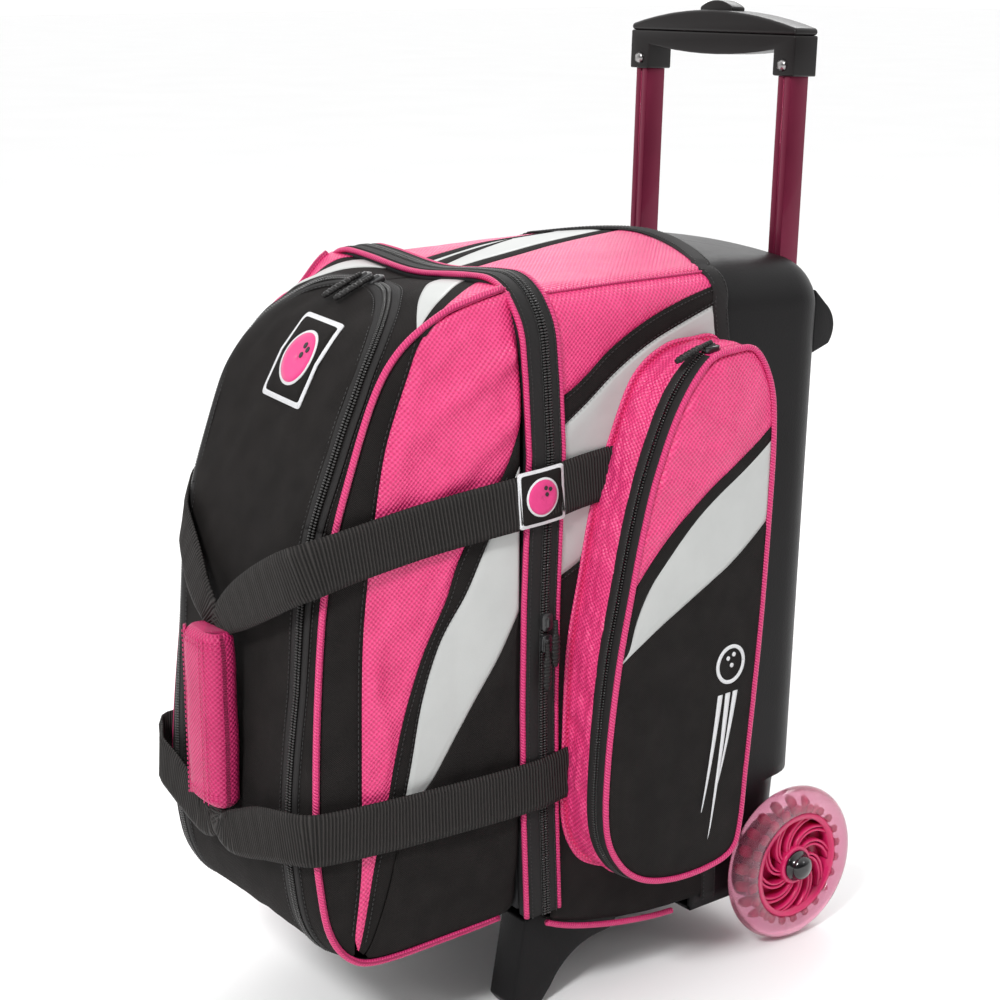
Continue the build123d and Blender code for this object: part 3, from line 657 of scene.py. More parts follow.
def shell_outline(z):
    """U-shaped plan of the shell as (x, y, inward x, inward y, depth to the middle)."""
    rear = shell_rear(z)
    line = []
    for y in np.linspace(SHELL_FRONT, rear - CORNER, 14):
        line.append((SHELL_HALF, y, -1, 0, min(SHELL_HALF, rear - y)))
    for angle in np.linspace(0, math.pi / 2, 9)[1:]:
        c, s = math.cos(angle), math.sin(angle)
        x = SHELL_HALF - CORNER + CORNER * c
        y = rear - CORNER + CORNER * s
        line.append((x, y, -c, -s, CORNER))
    for x in np.linspace(SHELL_HALF - CORNER, 0, 18)[1:]:
        line.append((x, rear, 0, -1, min(SHELL_HALF - x, rear - SHELL_FRONT)))
    return line + [(-x, y, -ix, iy, d) for x, y, ix, iy, d in line[-2::-1]]


def shell_grid():
    """Walls, rounded top edge and shallow dome of the shell."""
    rows = []
    for z in np.concatenate([np.linspace(42, 124, 9), [128, 132, 134], np.linspace(142, 488, 38)]):
        groove = ease((z - 150) / 25) * ease((500 - z) / 25)
        row = []
        for x, y, ix, iy, _ in shell_outline(z):
            dent = 0.0
            if iy == -1:
                dent = 2.2 * groove * sum(ease(1 - abs(abs(x) - c) / 7) for c in (16, 48))
            row.append((x, y - dent, z))
        rows.append(row)
    outline = shell_outline(520)
    radius = 33.0
    for angle in np.linspace(0, math.pi / 2, 12):
        inset = radius * (1 - math.cos(angle))
        row = []
        for x, y, ix, iy, _ in outline:
            a, b = x + ix * inset, y + iy * inset
            row.append((a, b, roof_height(a, b) - 1.2 - radius * (1 - math.sin(angle))))
        rows.append(row)
    for share in np.linspace(0, 1, 26)[1:]:
        row = []
        for x, y, ix, iy, depth in outline:
            inset = radius + (max(depth, CORNER) - radius) * share
            a, b = x + ix * inset, y + iy * inset
            row.append((a, b, roof_height(a, b) - 1.2))
        rows.append(row)
    return np.array(rows)


points = shell_grid()
uvs = np.stack(np.broadcast_arrays(lengths(points[20])[None, :], points[:, :, 2]), -1)
attach(grid_object("shell_skin", points, uvs, shell_plastic, 3.0, SHELL_MIDDLE), "bag", "back_shell")
low = np.array(shell_outline(SHELL_LOW))[:, :2]
points = np.array([[(x * t, y, SHELL_LOW - (1 - t)) for t in np.linspace(1, -1, 12)]
                   for x, y in low[: len(low) // 2 + 1]])
attach(grid_object("shell_floor", points, points[:, :, :2], shell_plastic, 3.0, SHELL_MIDDLE), "bag")

for name, side in SIDES:
    line = smooth_line([(y, z - 0.5) for y, z in zip(FLOOR_Y, FLOOR_Z)][:-1], 90)
    points = np.array([(side * 121.0, y, z) for y, z in line])
    sweep(f"floor_piping_{name}", points, (side * 0.8, 0, -0.6), circle(2.3), piping_pink, "bag")

# Black binding over the joint of fabric and shell
right_edge = [(120.9, np.interp(z, (48, 480, 548), (120, 120, 111)) + 1, z) for z in np.linspace(50, 520, 60)]
over = [(102.9 + 18 * math.cos(a), np.interp(a, (0, math.pi / 2), (116, 112)), 531 + 17 * math.sin(a))
        for a in np.linspace(0, math.pi / 2, 10)]
top_edge = [(x, roof_back(x), roof_height(x, roof_back(x)) + 0.4) for x in np.linspace(100, 0, 24)]
half_line = [*right_edge, *over, *top_edge]
path = resample(np.array(half_line + [(-x, y, z) for x, y, z in half_line[-2::-1]], float), 260)
normals = np.stack([np.clip(path[:, 0] / 118, -1, 1) ** 5, np.zeros(len(path)),
                    np.clip((path[:, 2] - 500) / 40, 0, 1)], 1) + [0, -0.001, 0.001]
sweep("shell_binding", path, normals, flat_section(15, 1.3, 0.5), tape_black, "bag")
for tag, shift in (("front", -5.5), ("rear", 5.5)):
    stitch_line(f"stitch_binding_{tag}", path + np.array([0, shift, 0]), normals, "bag", lift=1.5)


# ---------------------------------------------------------------- arch of the main zipper
ROOF_SAG = 6.5


def arch_line(y, out):
    """Points and outward directions along the zipper arch at a depth."""
    half, top, radius = 124.0 + out, 556.0 + out, 42.0 + out
    line = [(half, 90.0), (half, top - radius)]
    line += [(half - radius + radius * math.cos(a), top - radius + radius * math.sin(a))
             for a in np.linspace(0, math.pi / 2, 14)[1:]]
    line += [(-x, z) for x, z in line[::-1]]
    path = resample(np.array(line, float), 300)
    ahead = unit(np.gradient(path, axis=0))
    out_dir = np.stack([ahead[:, 1], np.zeros(len(path)), -ahead[:, 0]], 1)
    upright = np.clip((550 - path[:, 1]) / 20, 0, 1)
    sway = np.interp(path[:, 1], (90, 178, 256, 330, 437, 487, 540), (3.5, 0, -1, 0, 4, 1, -4)) * upright
    sag = ROOF_SAG * np.exp(-(path[:, 0] / 52) ** 2) * (path[:, 1] > 500)
    points = np.stack([path[:, 0], y + sway - 4 * (1 - upright), path[:, 1] - sag], 1)
    return points, out_dir


def arch_band(name, y, section, material, body, *nodes, out=0.0):
    """A band swept along the zipper arch."""
    sweep(name, *arch_line(y, out), section, material, body, *nodes)


arch_band("body_zip_band", -43.2, flat_section(11, 1.6, 0.6), tape_black, "bag", "body_rim")
arch_band("lid_zip_band", -58.0, flat_section(15, 1.6, 0.8), tape_black, "lid", "lid_rim")
arch_band("body_zip_piping", -37.0, circle(2.0), piping_pink, "bag", out=0.6)
arch_band("lid_zip_piping", -66.6, circle(2.1), piping_pink, "lid", out=0.2)
for tag, y, body in (("body_a", -40.6, "bag"), ("body_b", -46.2, "bag"), ("lid_a", -53.5, "lid"),
                     ("lid_b", -62.6, "lid")):
    stitch_line(f"stitch_rim_{tag}", *arch_line(y, 2.0), body, pitch=3.0)
    arch_band(f"rim_ridge_{tag}", y, circle(0.55, 6), tape_black, body, out=2.0)
for tag, y, body in (("body", -48.1, "bag"), ("lid", -51.3, "lid")):
    teeth(f"teeth_{tag}", *arch_line(y, 1.6), body)

# Padded edge behind each band, closing it to the panels
for tag, y0, y1, body in (("body", -48.8, -39.0, "bag"), ("lid", -66.8, -50.2, "lid")):
    grid = np.stack([arch_line(y, d)[0] for y, d in ((y0, 0.8), (y0, -8.0), (y1, -8.0), (y1, 0.8))], 1)
    around = np.stack(np.meshgrid(np.arange(len(grid)) * 4.0, (0, 9, 19, 28), indexing="ij"), -1)
    attach(grid_object(f"rim_lining_{tag}", grid, around, lining_black, 0.8), body)


# ---------------------------------------------------------------- front lid
OUTLINE = [(-67, 90), (-120, 88.5), (-180, 89), (-205, 98), (-221, 122), (-228, 160), (-230, 193),
           (-228, 272), (-222, 348), (-213, 394), (-202, 430), (-179, 489), (-157, 519), (-125, 538),
           (-100, 545), (-69, 551)]
lid_edge = smooth_line(OUTLINE, 400)
lid_length = lengths(lid_edge)[-1]
lid_out = -unit(np.stack([np.gradient(lid_edge[:, 1]), -np.gradient(lid_edge[:, 0])], 1))
LID_HALF = 108.0


def drawn_in(x, y, z):
    """The lid narrows towards its front and top."""
    share = float(ease((-y - 70) / 110) * ease((z - 120) / 230))
    slump = float(8 * ease((-x - 40) / 50) + 11 * ease((-x - 80) / 28))
    droop = slump * float(ease((z - 470) / 60) * ease((-y - 70) / 40))
    back = 8.0 * float(ease((-x - 84) / 24) * ease((-y - 120) / 60))
    return x * (1 - 0.093 * share), y + 7.7 * share + back, z - 3.4 * share - droop


def ridges(lines, folds):
    """Soft ridges along lines (start, end, width, height), added to finer folds."""
    table = [(np.array(a, float), np.array(b, float), width, height) for a, b, width, height in lines]

    def at(a, b):
        total = folds(a, b)
        point = np.array([a, b])
        for start, end, width, height in table:
            way = end - start
            t = min(max(float((point - start) @ way / (way @ way)), 0), 1)
            gap = np.linalg.norm(point - start - way * t)
            total += height * math.exp(-((gap / width) ** 2)) * (1 - 0.75 * t)
        return total
    return at


LID_FOLDS = [((-66, 512), (-152, 462), 8, 5.2), ((-66, 470), (-150, 405), 9, 6.0),
             ((-66, 425), (-128, 360), 8, 5.0), ((-66, 392), (-118, 345), 7, 3.6),
             ((-150, 500), (-172, 400), 7, 2.6), ((-188, 300), (-165, 200), 7, 2.4),
             ((-110, 524), (-140, 500), 6, 2.4)]


def lid_side(side):
    """The lid's side wall: full in the middle, drawn in at the piped edge."""
    def at(y, z, out):
        depth = np.sqrt(((lid_edge - (y, z)) ** 2).sum(1).min())
        near = np.interp(y, (-120, -67), (0, 1))
        x = LID_HALF + 8.5 * math.sqrt(min(depth, 70) / 70) + 4.5 * near * min(depth, 40) / 40
        return drawn_in(side * (x + out), y, z)
    return at


def lid_wrap(x, u, out):
    """The lid's front band: across, and along its outline from the bottom rear over the front to the roof."""
    x = min(max(x, -LID_HALF), LID_HALF)
    share = min(max(u / lid_length, 0), 1)
    at = share * (len(lid_edge) - 1)
    k = min(int(at), len(lid_edge) - 2)
    y, z = lid_edge[k] * (1 - (at - k)) + lid_edge[k + 1] * (at - k)
    ny, nz = lid_out[k] * (1 - (at - k)) + lid_out[k + 1] * (at - k)
    crown = 10.0 * (1 - abs(x / LID_HALF) ** 7) * math.sin(math.pi * share) ** 0.5
    crown *= float(np.interp(share, (0.5, 0.62), (0.6, 1)))
    sag = ROOF_SAG * math.exp(-((x / 52) ** 2)) * float(np.interp(y, (-120, -75), (0, 1))) * (z > 500)
    return drawn_in(x, y + ny * (out + crown), z + nz * (out + crown) - sag)


def u_at(z):
    """Distance along the lid's outline of its front point at a height."""
    ends = 60
    k = ends + int(np.argmin(np.abs(lid_edge[ends:-ends, 1] - z)))
    return k / (len(lid_edge) - 1) * lid_length


U_FLAP, U_END = u_at(402), lid_length - 1.0


STRIP_OUT = [(-127, 537), (-157, 518), (-178, 488), (-201, 430), (-212, 394), (-221, 348), (-227.5, 272),
             (-229.5, 193), (-227.5, 160), (-220.5, 122), (-205, 99)]
STRIP_IN = [(-141, 530), (-150, 511), (-164, 480), (-174, 452), (-182, 414), (-190, 365), (-195, 315),
            (-197, 235), (-198, 168), (-203, 118), (-203, 100)]
PINK_TOP = [(-69, 549), (-100, 543.5), (-125, 536.5), *STRIP_IN[:-1], (-201, 104)]
PINK_BACK = [(-68, 547), (-68, 500), (-68, 458), (-82, 424), (-114, 376), (-128, 343), (-147, 309),
             (-162, 271), (-172, 233), (-178, 204), (-188, 165), (-198, 111), (-200, 102)]
BAND_BACK = [(-68, 430), (-95, 377), (-112, 344), (-133, 314), (-148, 276), (-158, 231), (-165, 200),
             (-176, 150), (-190, 108), (-196, 98)]
WHITE_BACK = [(-68, 326), (-85, 295), (-105, 266), (-124, 238), (-144, 212), (-164, 199)]
LOW_BACK = [*WHITE_BACK, (-175, 150), (-188, 110), (-194, 97)]
LOW_REAR = [(-68, 322), (-68, 260), (-68, 190), (-68, 125), (-70, 92), (-120, 90), (-175, 91), (-192, 94)]

for name, side in SIDES:
    skin = lid_side(side)
    panel(f"lid_strip_{name}", skin, STRIP_OUT, STRIP_IN, fabric_black, "lid", puff=0.9)
    stands_for = ["lid_tub"] if side > 0 else []
    panel(f"lid_pink_{name}", skin, PINK_BACK, PINK_TOP, fabric_pink, "lid", *stands_for,
          wrinkle=ridges(LID_FOLDS, side_folds(21, 1.6)), size=3.0)
    panel(f"lid_band_{name}", skin, BAND_BACK, PINK_BACK[2:], fabric_black, "lid", puff=0.8)
    panel(f"lid_white_{name}", skin, WHITE_BACK, BAND_BACK[:7], vinyl_white, "lid", puff=0.9,
          wrinkle=side_folds(31, 0.5))
    panel(f"lid_low_{name}", skin, LOW_REAR, LOW_BACK, fabric_black, "lid", wrinkle=side_folds(35, 1.0))
    points, out = path_normals(skin, smooth_line(STRIP_IN[:-1], 110) + np.array([-3.4, 0]))
    stitch_line(f"stitch_strip_{name}", points, out, "lid", pitch=4.2, lift=1.0)
    for tag, source, shift in (("band_a", PINK_BACK[3:-1], 2.8), ("band_b", BAND_BACK[1:7], -2.8)):
        points, out = path_normals(skin, smooth_line(source, 90) + np.array([shift * 0.9, -shift * 0.45]))
        stitch_line(f"stitch_{tag}_{name}", points, out, "lid", lift=1.0)
    edge, outward = lid_edge[6:-2:3], lid_out[6:-2:3]
    points = np.array([drawn_in(side * (LID_HALF + 0.6), *row) for row in edge + outward * 1.2])
    outward = np.array([(side * 0.7, ny, nz) for ny, nz in outward])
    sweep(f"lid_piping_{name}", points, outward, circle(2.5), piping_pink, "lid")


# Half outlines as (x, u): the flap's edge from its hinge to the middle, and the zipper's run below it
FLAP_HALF = [(90, U_FLAP), (92, 487), (93, 519), (93, 548), (86, 577), (66, 603), (36, 626), (0, 638)]
RUN_HALF = [(90, U_FLAP), (90, 400), (88, 344), (81, 262), (78, 150), (77, 60)]
COLLAR_HALF = [(LID_HALF, U_FLAP), (LID_HALF, 560), (LID_HALF, U_END - 12), (106, U_END - 2), (94, U_END),
               (50, U_END), (0, U_END)]
half_top = smooth_line(FLAP_HALF, 60)
half_run = smooth_line(RUN_HALF, 60)
flap_loop = np.vstack([half_top * [-1, 1], half_top[-2::-1]])


def mirrored(points, side):
    """Line points (x, u) for one side."""
    return [(side * x, u) for x, u in points]


# One cloth from the lid's lower front over the hinge to the flap
cloth = panel("front_cloth", lid_wrap, [(-77, 2), *mirrored([*RUN_HALF[::-1], *FLAP_HALF[1:]], -1)],
              [(77, 2), *RUN_HALF[::-1], *FLAP_HALF[1:]], fabric_black, None, wrinkle=side_folds(43, 1.3),
              size=4.5)
metres(lid_wrap(0, U_FLAP - 16, 0.0))
metres(lid_wrap(0, U_FLAP + 10, 0.0))
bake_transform(cloth)
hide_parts("front_flap")
for name, side in SIDES:
    panel(f"lid_corner_{name}", lid_wrap, [(side * LID_HALF, u) for u in (2, 230, U_FLAP)],
          [(side * 77, 2), *mirrored(RUN_HALF[::-1], side)], fabric_black, "lid", puff=0.8)
    panel(f"lid_collar_{name}", lid_wrap, mirrored(COLLAR_HALF, side), mirrored(FLAP_HALF, side),
          fabric_black, "lid", puff=0.8, size=3.6)

# Left and right edges, as (x, y), of the white and pink pieces on the lid's roof
ROOF_PIECES = (
    ("blade", vinyl_white, 0.4, [(34, -70), (50, -93), (76, -118), (107, -142)],
     [(62, -70), (78, -92), (93, -114), (107, -141)]),
    ("corner", fabric_pink, 0.5, [(78, -70), (92, -94), (103, -116), (107.6, -128)],
     [(107.8, -70), (107.8, -90), (107.8, -110), (107.8, -127)]),
)


def lid_roof(side):
    """The lid's roof as (x, y), a little above its black cloth."""
    rear_part = 0.6
    back = lid_edge[:int(len(lid_edge) * rear_part):-1, 0]
    along = np.linspace(lid_length, lid_length * rear_part, len(back))

    def at(x, y, out):
        return lid_wrap(side * x, float(np.interp(-y, -back, along)), out + 1.0)
    return at


for name, side in SIDES:
    for tag, cloth, puff, left, right in ROOF_PIECES:
        panel(f"roof_{tag}_{name}", lid_roof(side), left, right, cloth, "lid", puff=puff)


# ---------------------------------------------------------------- flap zipper and its run down the front
TRIM = {"tape": (flat_section(7, 0.9, 0.4), tape_black), "ridge": (circle(0.8, 6), fabric_black)}


def inset_line(line, amount):
    """The (x, u) line moved towards the flap's middle."""
    line = np.asarray(line, float)
    ahead = np.gradient(line, axis=0)
    ahead /= np.linalg.norm(ahead, axis=1)[:, None] + 1e-9
    return line + np.stack([ahead[:, 1], -ahead[:, 0]], 1) * amount


def lid_trim(name, line, body, kind):
    """Teeth, stitches, a tape or a ridge along an (x, u) line on the lid's front band."""
    points, out = path_normals(lid_wrap, line)
    if kind == "teeth":
        teeth(name, points + out * 0.8, out, body)
    elif kind == "stitch":
        stitch_line(name, points, out, body, lift=0.9)
    else:
        sweep(name, points + out * 0.2, out, *TRIM[kind], body)


for tag, way, body in (("in", 1, "flap"), ("out", -1, "lid")):
    for kind, gap in (("teeth", 1.7), ("tape", 6.0), ("stitch", 10.5), ("ridge", 10.5)):
        lid_trim(f"flap_{kind}_{tag}", inset_line(flap_loop, way * gap), body, kind)
for name, side in SIDES:
    for tag, way in (("a", 1), ("b", -1)):
        for kind, gap in (("teeth", 1.7), ("tape", 6.0), ("stitch", 11.0)):
            lid_trim(f"front_{kind}_{tag}_{name}", half_run * [side, 1] + [way * gap, 0], "lid", kind)


# ---------------------------------------------------------------- side pockets
POCKET_X, WALL, RING = 122.4, 48.0, 300
OUTER = [(105, 497), (84, 500), (59, 494), (34, 464), (14, 420), (2, 380), (-8, 336), (-19, 282),
         (-27, 215), (-27, 165), (-14, 136), (8, 118), (40, 109.5), (75, 109.5), (97, 117), (104, 138),
         (108, 180), (114, 240), (119, 300), (123, 370), (125, 430), (121, 470)]
BASE = [(108, 496), (86, 498), (62, 496), (37, 482), (21, 455), (0, 400), (-13, 341), (-23, 289),
        (-26, 228), (-27, 165), (-16, 133), (3, 118), (35, 108.5), (68, 107.5), (90, 112), (100, 128),
        (106, 175), (111, 235), (115, 300), (119, 370), (121, 430), (119, 470)]
outer_ring = smooth_line(OUTER, RING, True)
base_ring = smooth_line(BASE, RING, True)


def ring_out(ring):
    """Outward directions in the plane of a closed ring that runs forwards over the top."""
    ahead = np.roll(ring, -1, 0) - np.roll(ring, 1, 0)
    out = unit(np.stack([-ahead[:, 1], ahead[:, 0]], 1))
    return out if ((ring - ring.mean(0)) * out).sum() > 0 else -out


outer_out, base_out = ring_out(outer_ring), ring_out(base_ring)


def between(rows, step):
    """The row at a fractional step round a closed ring."""
    k, part = int(step), step - int(step)
    return rows[k % RING] * (1 - part) + rows[(k + 1) % RING] * part


def gusset(side):
    """The pocket's wall: how far round, in ring steps, and how far out from the bag, in millimetres."""
    def at(step, w, out):
        share = w / WALL
        ring = between(base_ring, step) * (1 - share) + between(outer_ring, step) * share
        push = between(outer_out, step)
        push = push / np.linalg.norm(push)
        ring = ring + push * (out + 2.4 * math.sin(math.pi * min(max(share, 0), 1)))
        return side * (POCKET_X + w), ring[0], ring[1]
    return at


def around_ring(ring, push, x, out):
    """Points round a closed ring moved outwards in its plane, at a distance from the bag's middle."""
    points = np.vstack([ring, ring[:1]]) + np.vstack([push, push[:1]]) * out
    return np.column_stack([np.full(len(points), x), points])


def pocket_face(side):
    """The pocket's outer face: (y, z), fullest in the middle."""
    def at(y, z, out):
        depth = math.sqrt(((outer_ring - (y, z)) ** 2).sum(1).min())
        return side * (169.6 + 4.6 * math.sqrt(min(depth, 42) / 42) + out), y, z
    return at


def ruffle(seed):
    """Small gathers across a pocket's wall."""
    def at(step, w):
        along = step * 3.4
        return (2.2 * fold(along, w * 0.55, seed, 13, seed)
                + 1.7 * fold(along, w * 1.2, seed, 6, seed + 3))
    return at


POCKET_FOLDS = [((14, 418), (66, 400), 6, 3.0), ((22, 440), (84, 424), 6, 2.6),
                ((40, 466), (92, 440), 7, 2.8), ((70, 488), (104, 452), 6, 2.2),
                ((2, 378), (36, 384), 6, 2.2)]
ZIP_FROM, ZIP_TO = 14, 168
POCKET_PINK = [(-11, 328), (-4, 343), (23, 374), (57, 401), (85, 418), (106, 430), (123.6, 441)]
POCKET_TOP = [(-9.5, 332), (1, 378), (14, 419), (34, 463), (59, 492), (84, 498.5), (104, 496), (120, 470),
              (124.2, 445)]
POCKET_BAND = [(-18.5, 288), (-10, 297), (-4, 317), (7, 339), (24, 359), (47, 382), (71, 399), (99, 415),
               (123.8, 430)]
POCKET_WHITE = [(-18.8, 286), (-10, 293), (2, 301), (25, 315), (60, 333), (88, 348), (122, 371)]
POCKET_LOW = [(-19.2, 282), (-26, 215), (-26, 165), (-13.5, 137), (8, 119), (40, 110.8), (75, 110.8),
              (96, 118), (103, 138), (107, 180), (113, 240), (118, 300), (121.8, 366)]


def zip_path(side, w):
    """Points and outward directions along a pocket's zipper, at a way out from the bag."""
    return path_normals(gusset(side), [(step, w) for step in np.linspace(ZIP_FROM, ZIP_TO, 150)])


def pocket_wall(name, side, door):
    """Gathered wall, its zipper and the door's band behind it."""
    wall = gusset(side)
    look = {"centre": (side * 150, 50, 300), "stretch": 3.4}
    panel(f"pocket_wall_{name}", wall, [(0, 0), (RING, 0)], [(0, 36.4), (RING, 36.4)], fabric_pink, "bag",
          f"pocket_gusset_{name}", size=1.0, wrinkle=ruffle(3), puff=0.5, **look)
    ends = (ZIP_TO, RING + ZIP_FROM)
    panel(f"pocket_rear_band_{name}", wall, [(s, 37.4) for s in ends], [(s, 47.5) for s in ends], fabric_pink,
          door, size=1.2, puff=0.2, **look)
    for tag, body, tape, width, row in (("bag", "bag", 33.6, 8.4, 36.9), ("door", door, 43.3, 10.0, 39.5)):
        section = flat_section(width, 1.3, 0.5)
        sweep(f"pocket_tape_{tag}_{name}", *zip_path(side, tape), section, tape_black, body)
        points, out = zip_path(side, row)
        teeth(f"pocket_teeth_{tag}_{name}", points + out * 0.6, out, body, (1.25, 2.9, 1.5))
    stitch_line(f"pocket_stitch_{name}", *zip_path(side, 46.6), door, lift=1.2)


def pocket_door(name, side, door):
    """The door's four cloth pieces and its piped edge."""
    face = pocket_face(side)
    centre = (0, 50, 300)
    panel(f"pocket_pink_{name}", face, POCKET_PINK, POCKET_TOP, fabric_pink, door, f"pocket_door_{name}",
          wrinkle=ridges(POCKET_FOLDS, side_folds(51, 1.0)), size=3.0, centre=centre)
    panel(f"pocket_band_{name}", face, POCKET_BAND, POCKET_PINK, fabric_black, door, puff=0.8, centre=centre,
          size=3.0)
    panel(f"pocket_white_{name}", face, POCKET_WHITE, POCKET_BAND, vinyl_white, door, puff=0.9, centre=centre,
          size=3.0)
    panel(f"pocket_low_{name}", face, POCKET_LOW, POCKET_WHITE, fabric_black, door, size=3.6, centre=centre,
          wrinkle=side_folds(55, 0.7))
    out = np.column_stack([np.full(RING, side * 0.8), outer_out])
    sweep(f"pocket_piping_{name}", around_ring(outer_ring, outer_out, side * 170.4, 0.4),
          np.vstack([out, out[:1]]), circle(2.3), piping_pink, door, cap=False)


def pocket_flange(name, side):
    """The wall's sewn edge on the bag."""
    sweep(f"pocket_flange_{name}", around_ring(base_ring, base_out, side * 123.6, 1.5), (side, 0, 0),
          flat_section(7, 1.4, 0.3), fabric_pink, "bag", cap=False)
    for tag, shift, x in (("a", 3.2, 125.1), ("b", -1.2, 125.3)):
        stitch_line(f"flange_stitch_{tag}_{name}", around_ring(base_ring, base_out, side * x, shift),
                    (side, 0, 0), "bag", 3.6, material=thread_pink)


for name, side in SIDES:
    pocket_wall(name, side, f"door_{name}")
    pocket_door(name, side, f"door_{name}")
    pocket_flange(name, side)


# ---------------------------------------------------------------- carry straps and grip
# Strap routes as (x, y, z, width share) on the right side, from the sewn end to the grip
SEWN_END = [(125.6, 14, 415, 1), (127.6, -20, 412.5, 1), (129.6, -58, 407.5, 1)]
ROUTES = {
    ("upper", "right"): [*SEWN_END, (127, -100, 403.5, 1), (123, -150, 398, 1), (119.5, -205, 390, 1),
                         (114, -234, 384, 1), (96, -243, 376, 1), (64, -246, 360, 1), (34, -247, 344, 0.9),
                         (14, -247.5, 332, 0.72), (4, -247.5, 322, 0.62), (1, -247.5, 308, 0.6)],
    ("upper", "left"): [*SEWN_END, (126, -100, 404, 1), (121, -150, 401, 1), (117, -190, 397, 1),
                        (108, -216, 389, 1), (86, -229, 375, 1), (56, -239, 358, 1), (32, -245, 342, 0.9),
                        (14, -247.5, 331, 0.72), (5, -247.5, 321, 0.62), (2, -247.5, 308, 0.6)],
    "lower": [(125.8, -22, 197, 1), (128.6, -42, 196, 1), (129.8, -60, 195, 1), (127, -110, 194, 1),
              (123, -170, 194, 1), (119.5, -222, 196, 1), (113, -240, 196, 1), (92, -246, 193, 1),
              (62, -247.5, 186, 1), (36, -248, 177, 0.92), (16, -248.5, 172, 0.8), (3, -248.5, 178, 0.64),
              (1, -248, 198, 0.6)],
}
OUTWARDS = [(1, 0, 0.02)] * 5 + [(1, -0.12, 0), (0.8, -0.8, 0), (0.2, -1, 0)] + [(0, -1, 0)] * 5


def strap(name, route, side, width=38.0, thick=2.3):
    """Ribbed webbing along a smooth route."""
    flip = [side, 1, 1]
    table = np.hstack([np.array(route, float) * [*flip, 1], np.array(OUTWARDS, float) * flip])
    line = smooth_line(table, 60)
    line[:, :3] = [drawn_in(*row) for row in line[:, :3]]
    line = resample(line, int(lengths(line[:, :3])[-1] / 0.62))
    rib = 1 + 0.34 * np.sin(lengths(line[:, :3]) * 2 * math.pi / 2.6)
    section = flat_section(width, thick, 0.0, 9) - [0, thick / 2]
    return sweep(name, line[:, :3], line[:, 4:7], section, webbing, scale=np.stack([line[:, 3], rib], 1))


for name, side in SIDES:
    for level, sewn_y in (("upper", -4), ("lower", -30)):
        route = ROUTES.get((level, name)) or ROUTES[level]
        obj = strap(f"webbing_{level}_{name}", route, side)
        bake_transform(obj)
        core = ["loop_core_left"] if (level, name) == ("lower", "left") else []
        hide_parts(f"strap_{level}_{name}", *core)


def grip_section(half_x, half_y, count=36):
    """A rounded box section for the carry grip."""
    angles = np.linspace(0, 2 * math.pi, count, endpoint=False)
    c, s = np.cos(angles), np.sin(angles)
    return np.stack([half_x * np.sign(c) * np.abs(c) ** 0.62, -half_y * np.sign(s) * np.abs(s) ** 0.75], 1)


GRIP_LOW, GRIP_HIGH, GRIP_Y, GRIP_DEEP = 190, 318, -246.5, 12.6
heights = np.linspace(GRIP_LOW, GRIP_HIGH, 60)
from_middle = np.abs(heights - (GRIP_LOW + GRIP_HIGH) / 2)
path = np.array([(0.8 * math.sin((z - GRIP_LOW) / 41), GRIP_Y, z) for z in heights])
full = 1 - 0.06 * (from_middle / 64) ** 6 + 0.015 * np.sin(heights / 9)
ends = 1 - 0.35 * ease((from_middle - 60) / 4.5)
scale = np.stack([full * (0.55 + 0.45 * ends), full * ends], 1)
grip = sweep("carry_grip_wrap", path, (0, -1, 0), grip_section(22.6, GRIP_DEEP), grip_pink, "loop_right",
             "carry_grip", scale=scale)
edge = np.array([(-19.5, -253.5, z) for z in np.linspace(191.5, 316.5, 40)])
sweep("carry_grip_edge", edge, (-0.55, -0.84, 0), flat_section(7, 1.8, 0.5), grip_pink, "loop_right")
for k, (x, y, nx) in enumerate(((-21.5, -253.2, -0.55), (-15.5, -258.6, -0.3), (13.5, -259.3, 0.15),
                                (8.0, -259.6, 0.1))):
    line = np.array([(x, y, z) for z in np.linspace(194, 314, 40)])
    stitch_line(f"grip_stitch_{k}", line, (nx, -1, 0), "loop_right", material=thread_pink)
for k, z in enumerate((196, 200, 308, 312)):
    line = np.array([(x, GRIP_Y - GRIP_DEEP * (1 - (abs(x) / 22.8) ** 3.0) ** 0.42, z)
                     for x in np.linspace(-17, 19, 20)])
    stitch_line(f"grip_end_stitch_{k}", line, (0, -1, 0), "loop_right", material=thread_pink)


# ---------------------------------------------------------------- wheels
WHEEL_Y, WHEEL_Z = 196.5, 63.5


def turned(name, profile, side, material, count=96, closed=True):
    """A ring round the wheel's axis from an (outward X, radius) profile."""
    profile = np.array(profile, float)
    angles = np.linspace(0, 2 * math.pi, count, endpoint=False)
    points = np.array([[(side * x, WHEEL_Y + r * math.sin(a), WHEEL_Z + r * math.cos(a)) for x, r in profile]
                       for a in angles])
    index = np.arange(points.shape[0] * points.shape[1]).reshape(points.shape[:2])
    nxt = np.roll(index, -1, 0)
    faces = []
    span = points.shape[1] if closed else points.shape[1] - 1
    for j in range(span):
        n = (j + 1) % points.shape[1]
        faces += np.stack([index[:, j], nxt[:, j], nxt[:, n], index[:, n]], 1)[:, ::side].tolist()
    uvs = np.stack(np.meshgrid(angles * 50, np.arange(points.shape[1]) * 3.0, indexing="ij"), -1)
    return make_object(name, points.reshape(-1, 3), faces, material, uvs.reshape(-1, 2))


def rounded_profile(x0, x1, r0, r1, radius):
    """A ring's profile with its outer corners rounded."""
    arc = np.linspace(0, math.pi / 2, 6)
    points = [(x0, r0)]
    points += [(x0 + radius * (1 - math.sin(a)), r1 - radius * (1 - math.cos(a))) for a in arc[::-1]]
    points += [(x1 - radius * (1 - math.sin(a)), r1 - radius * (1 - math.cos(a))) for a in arc]
    return points + [(x1, r0)]


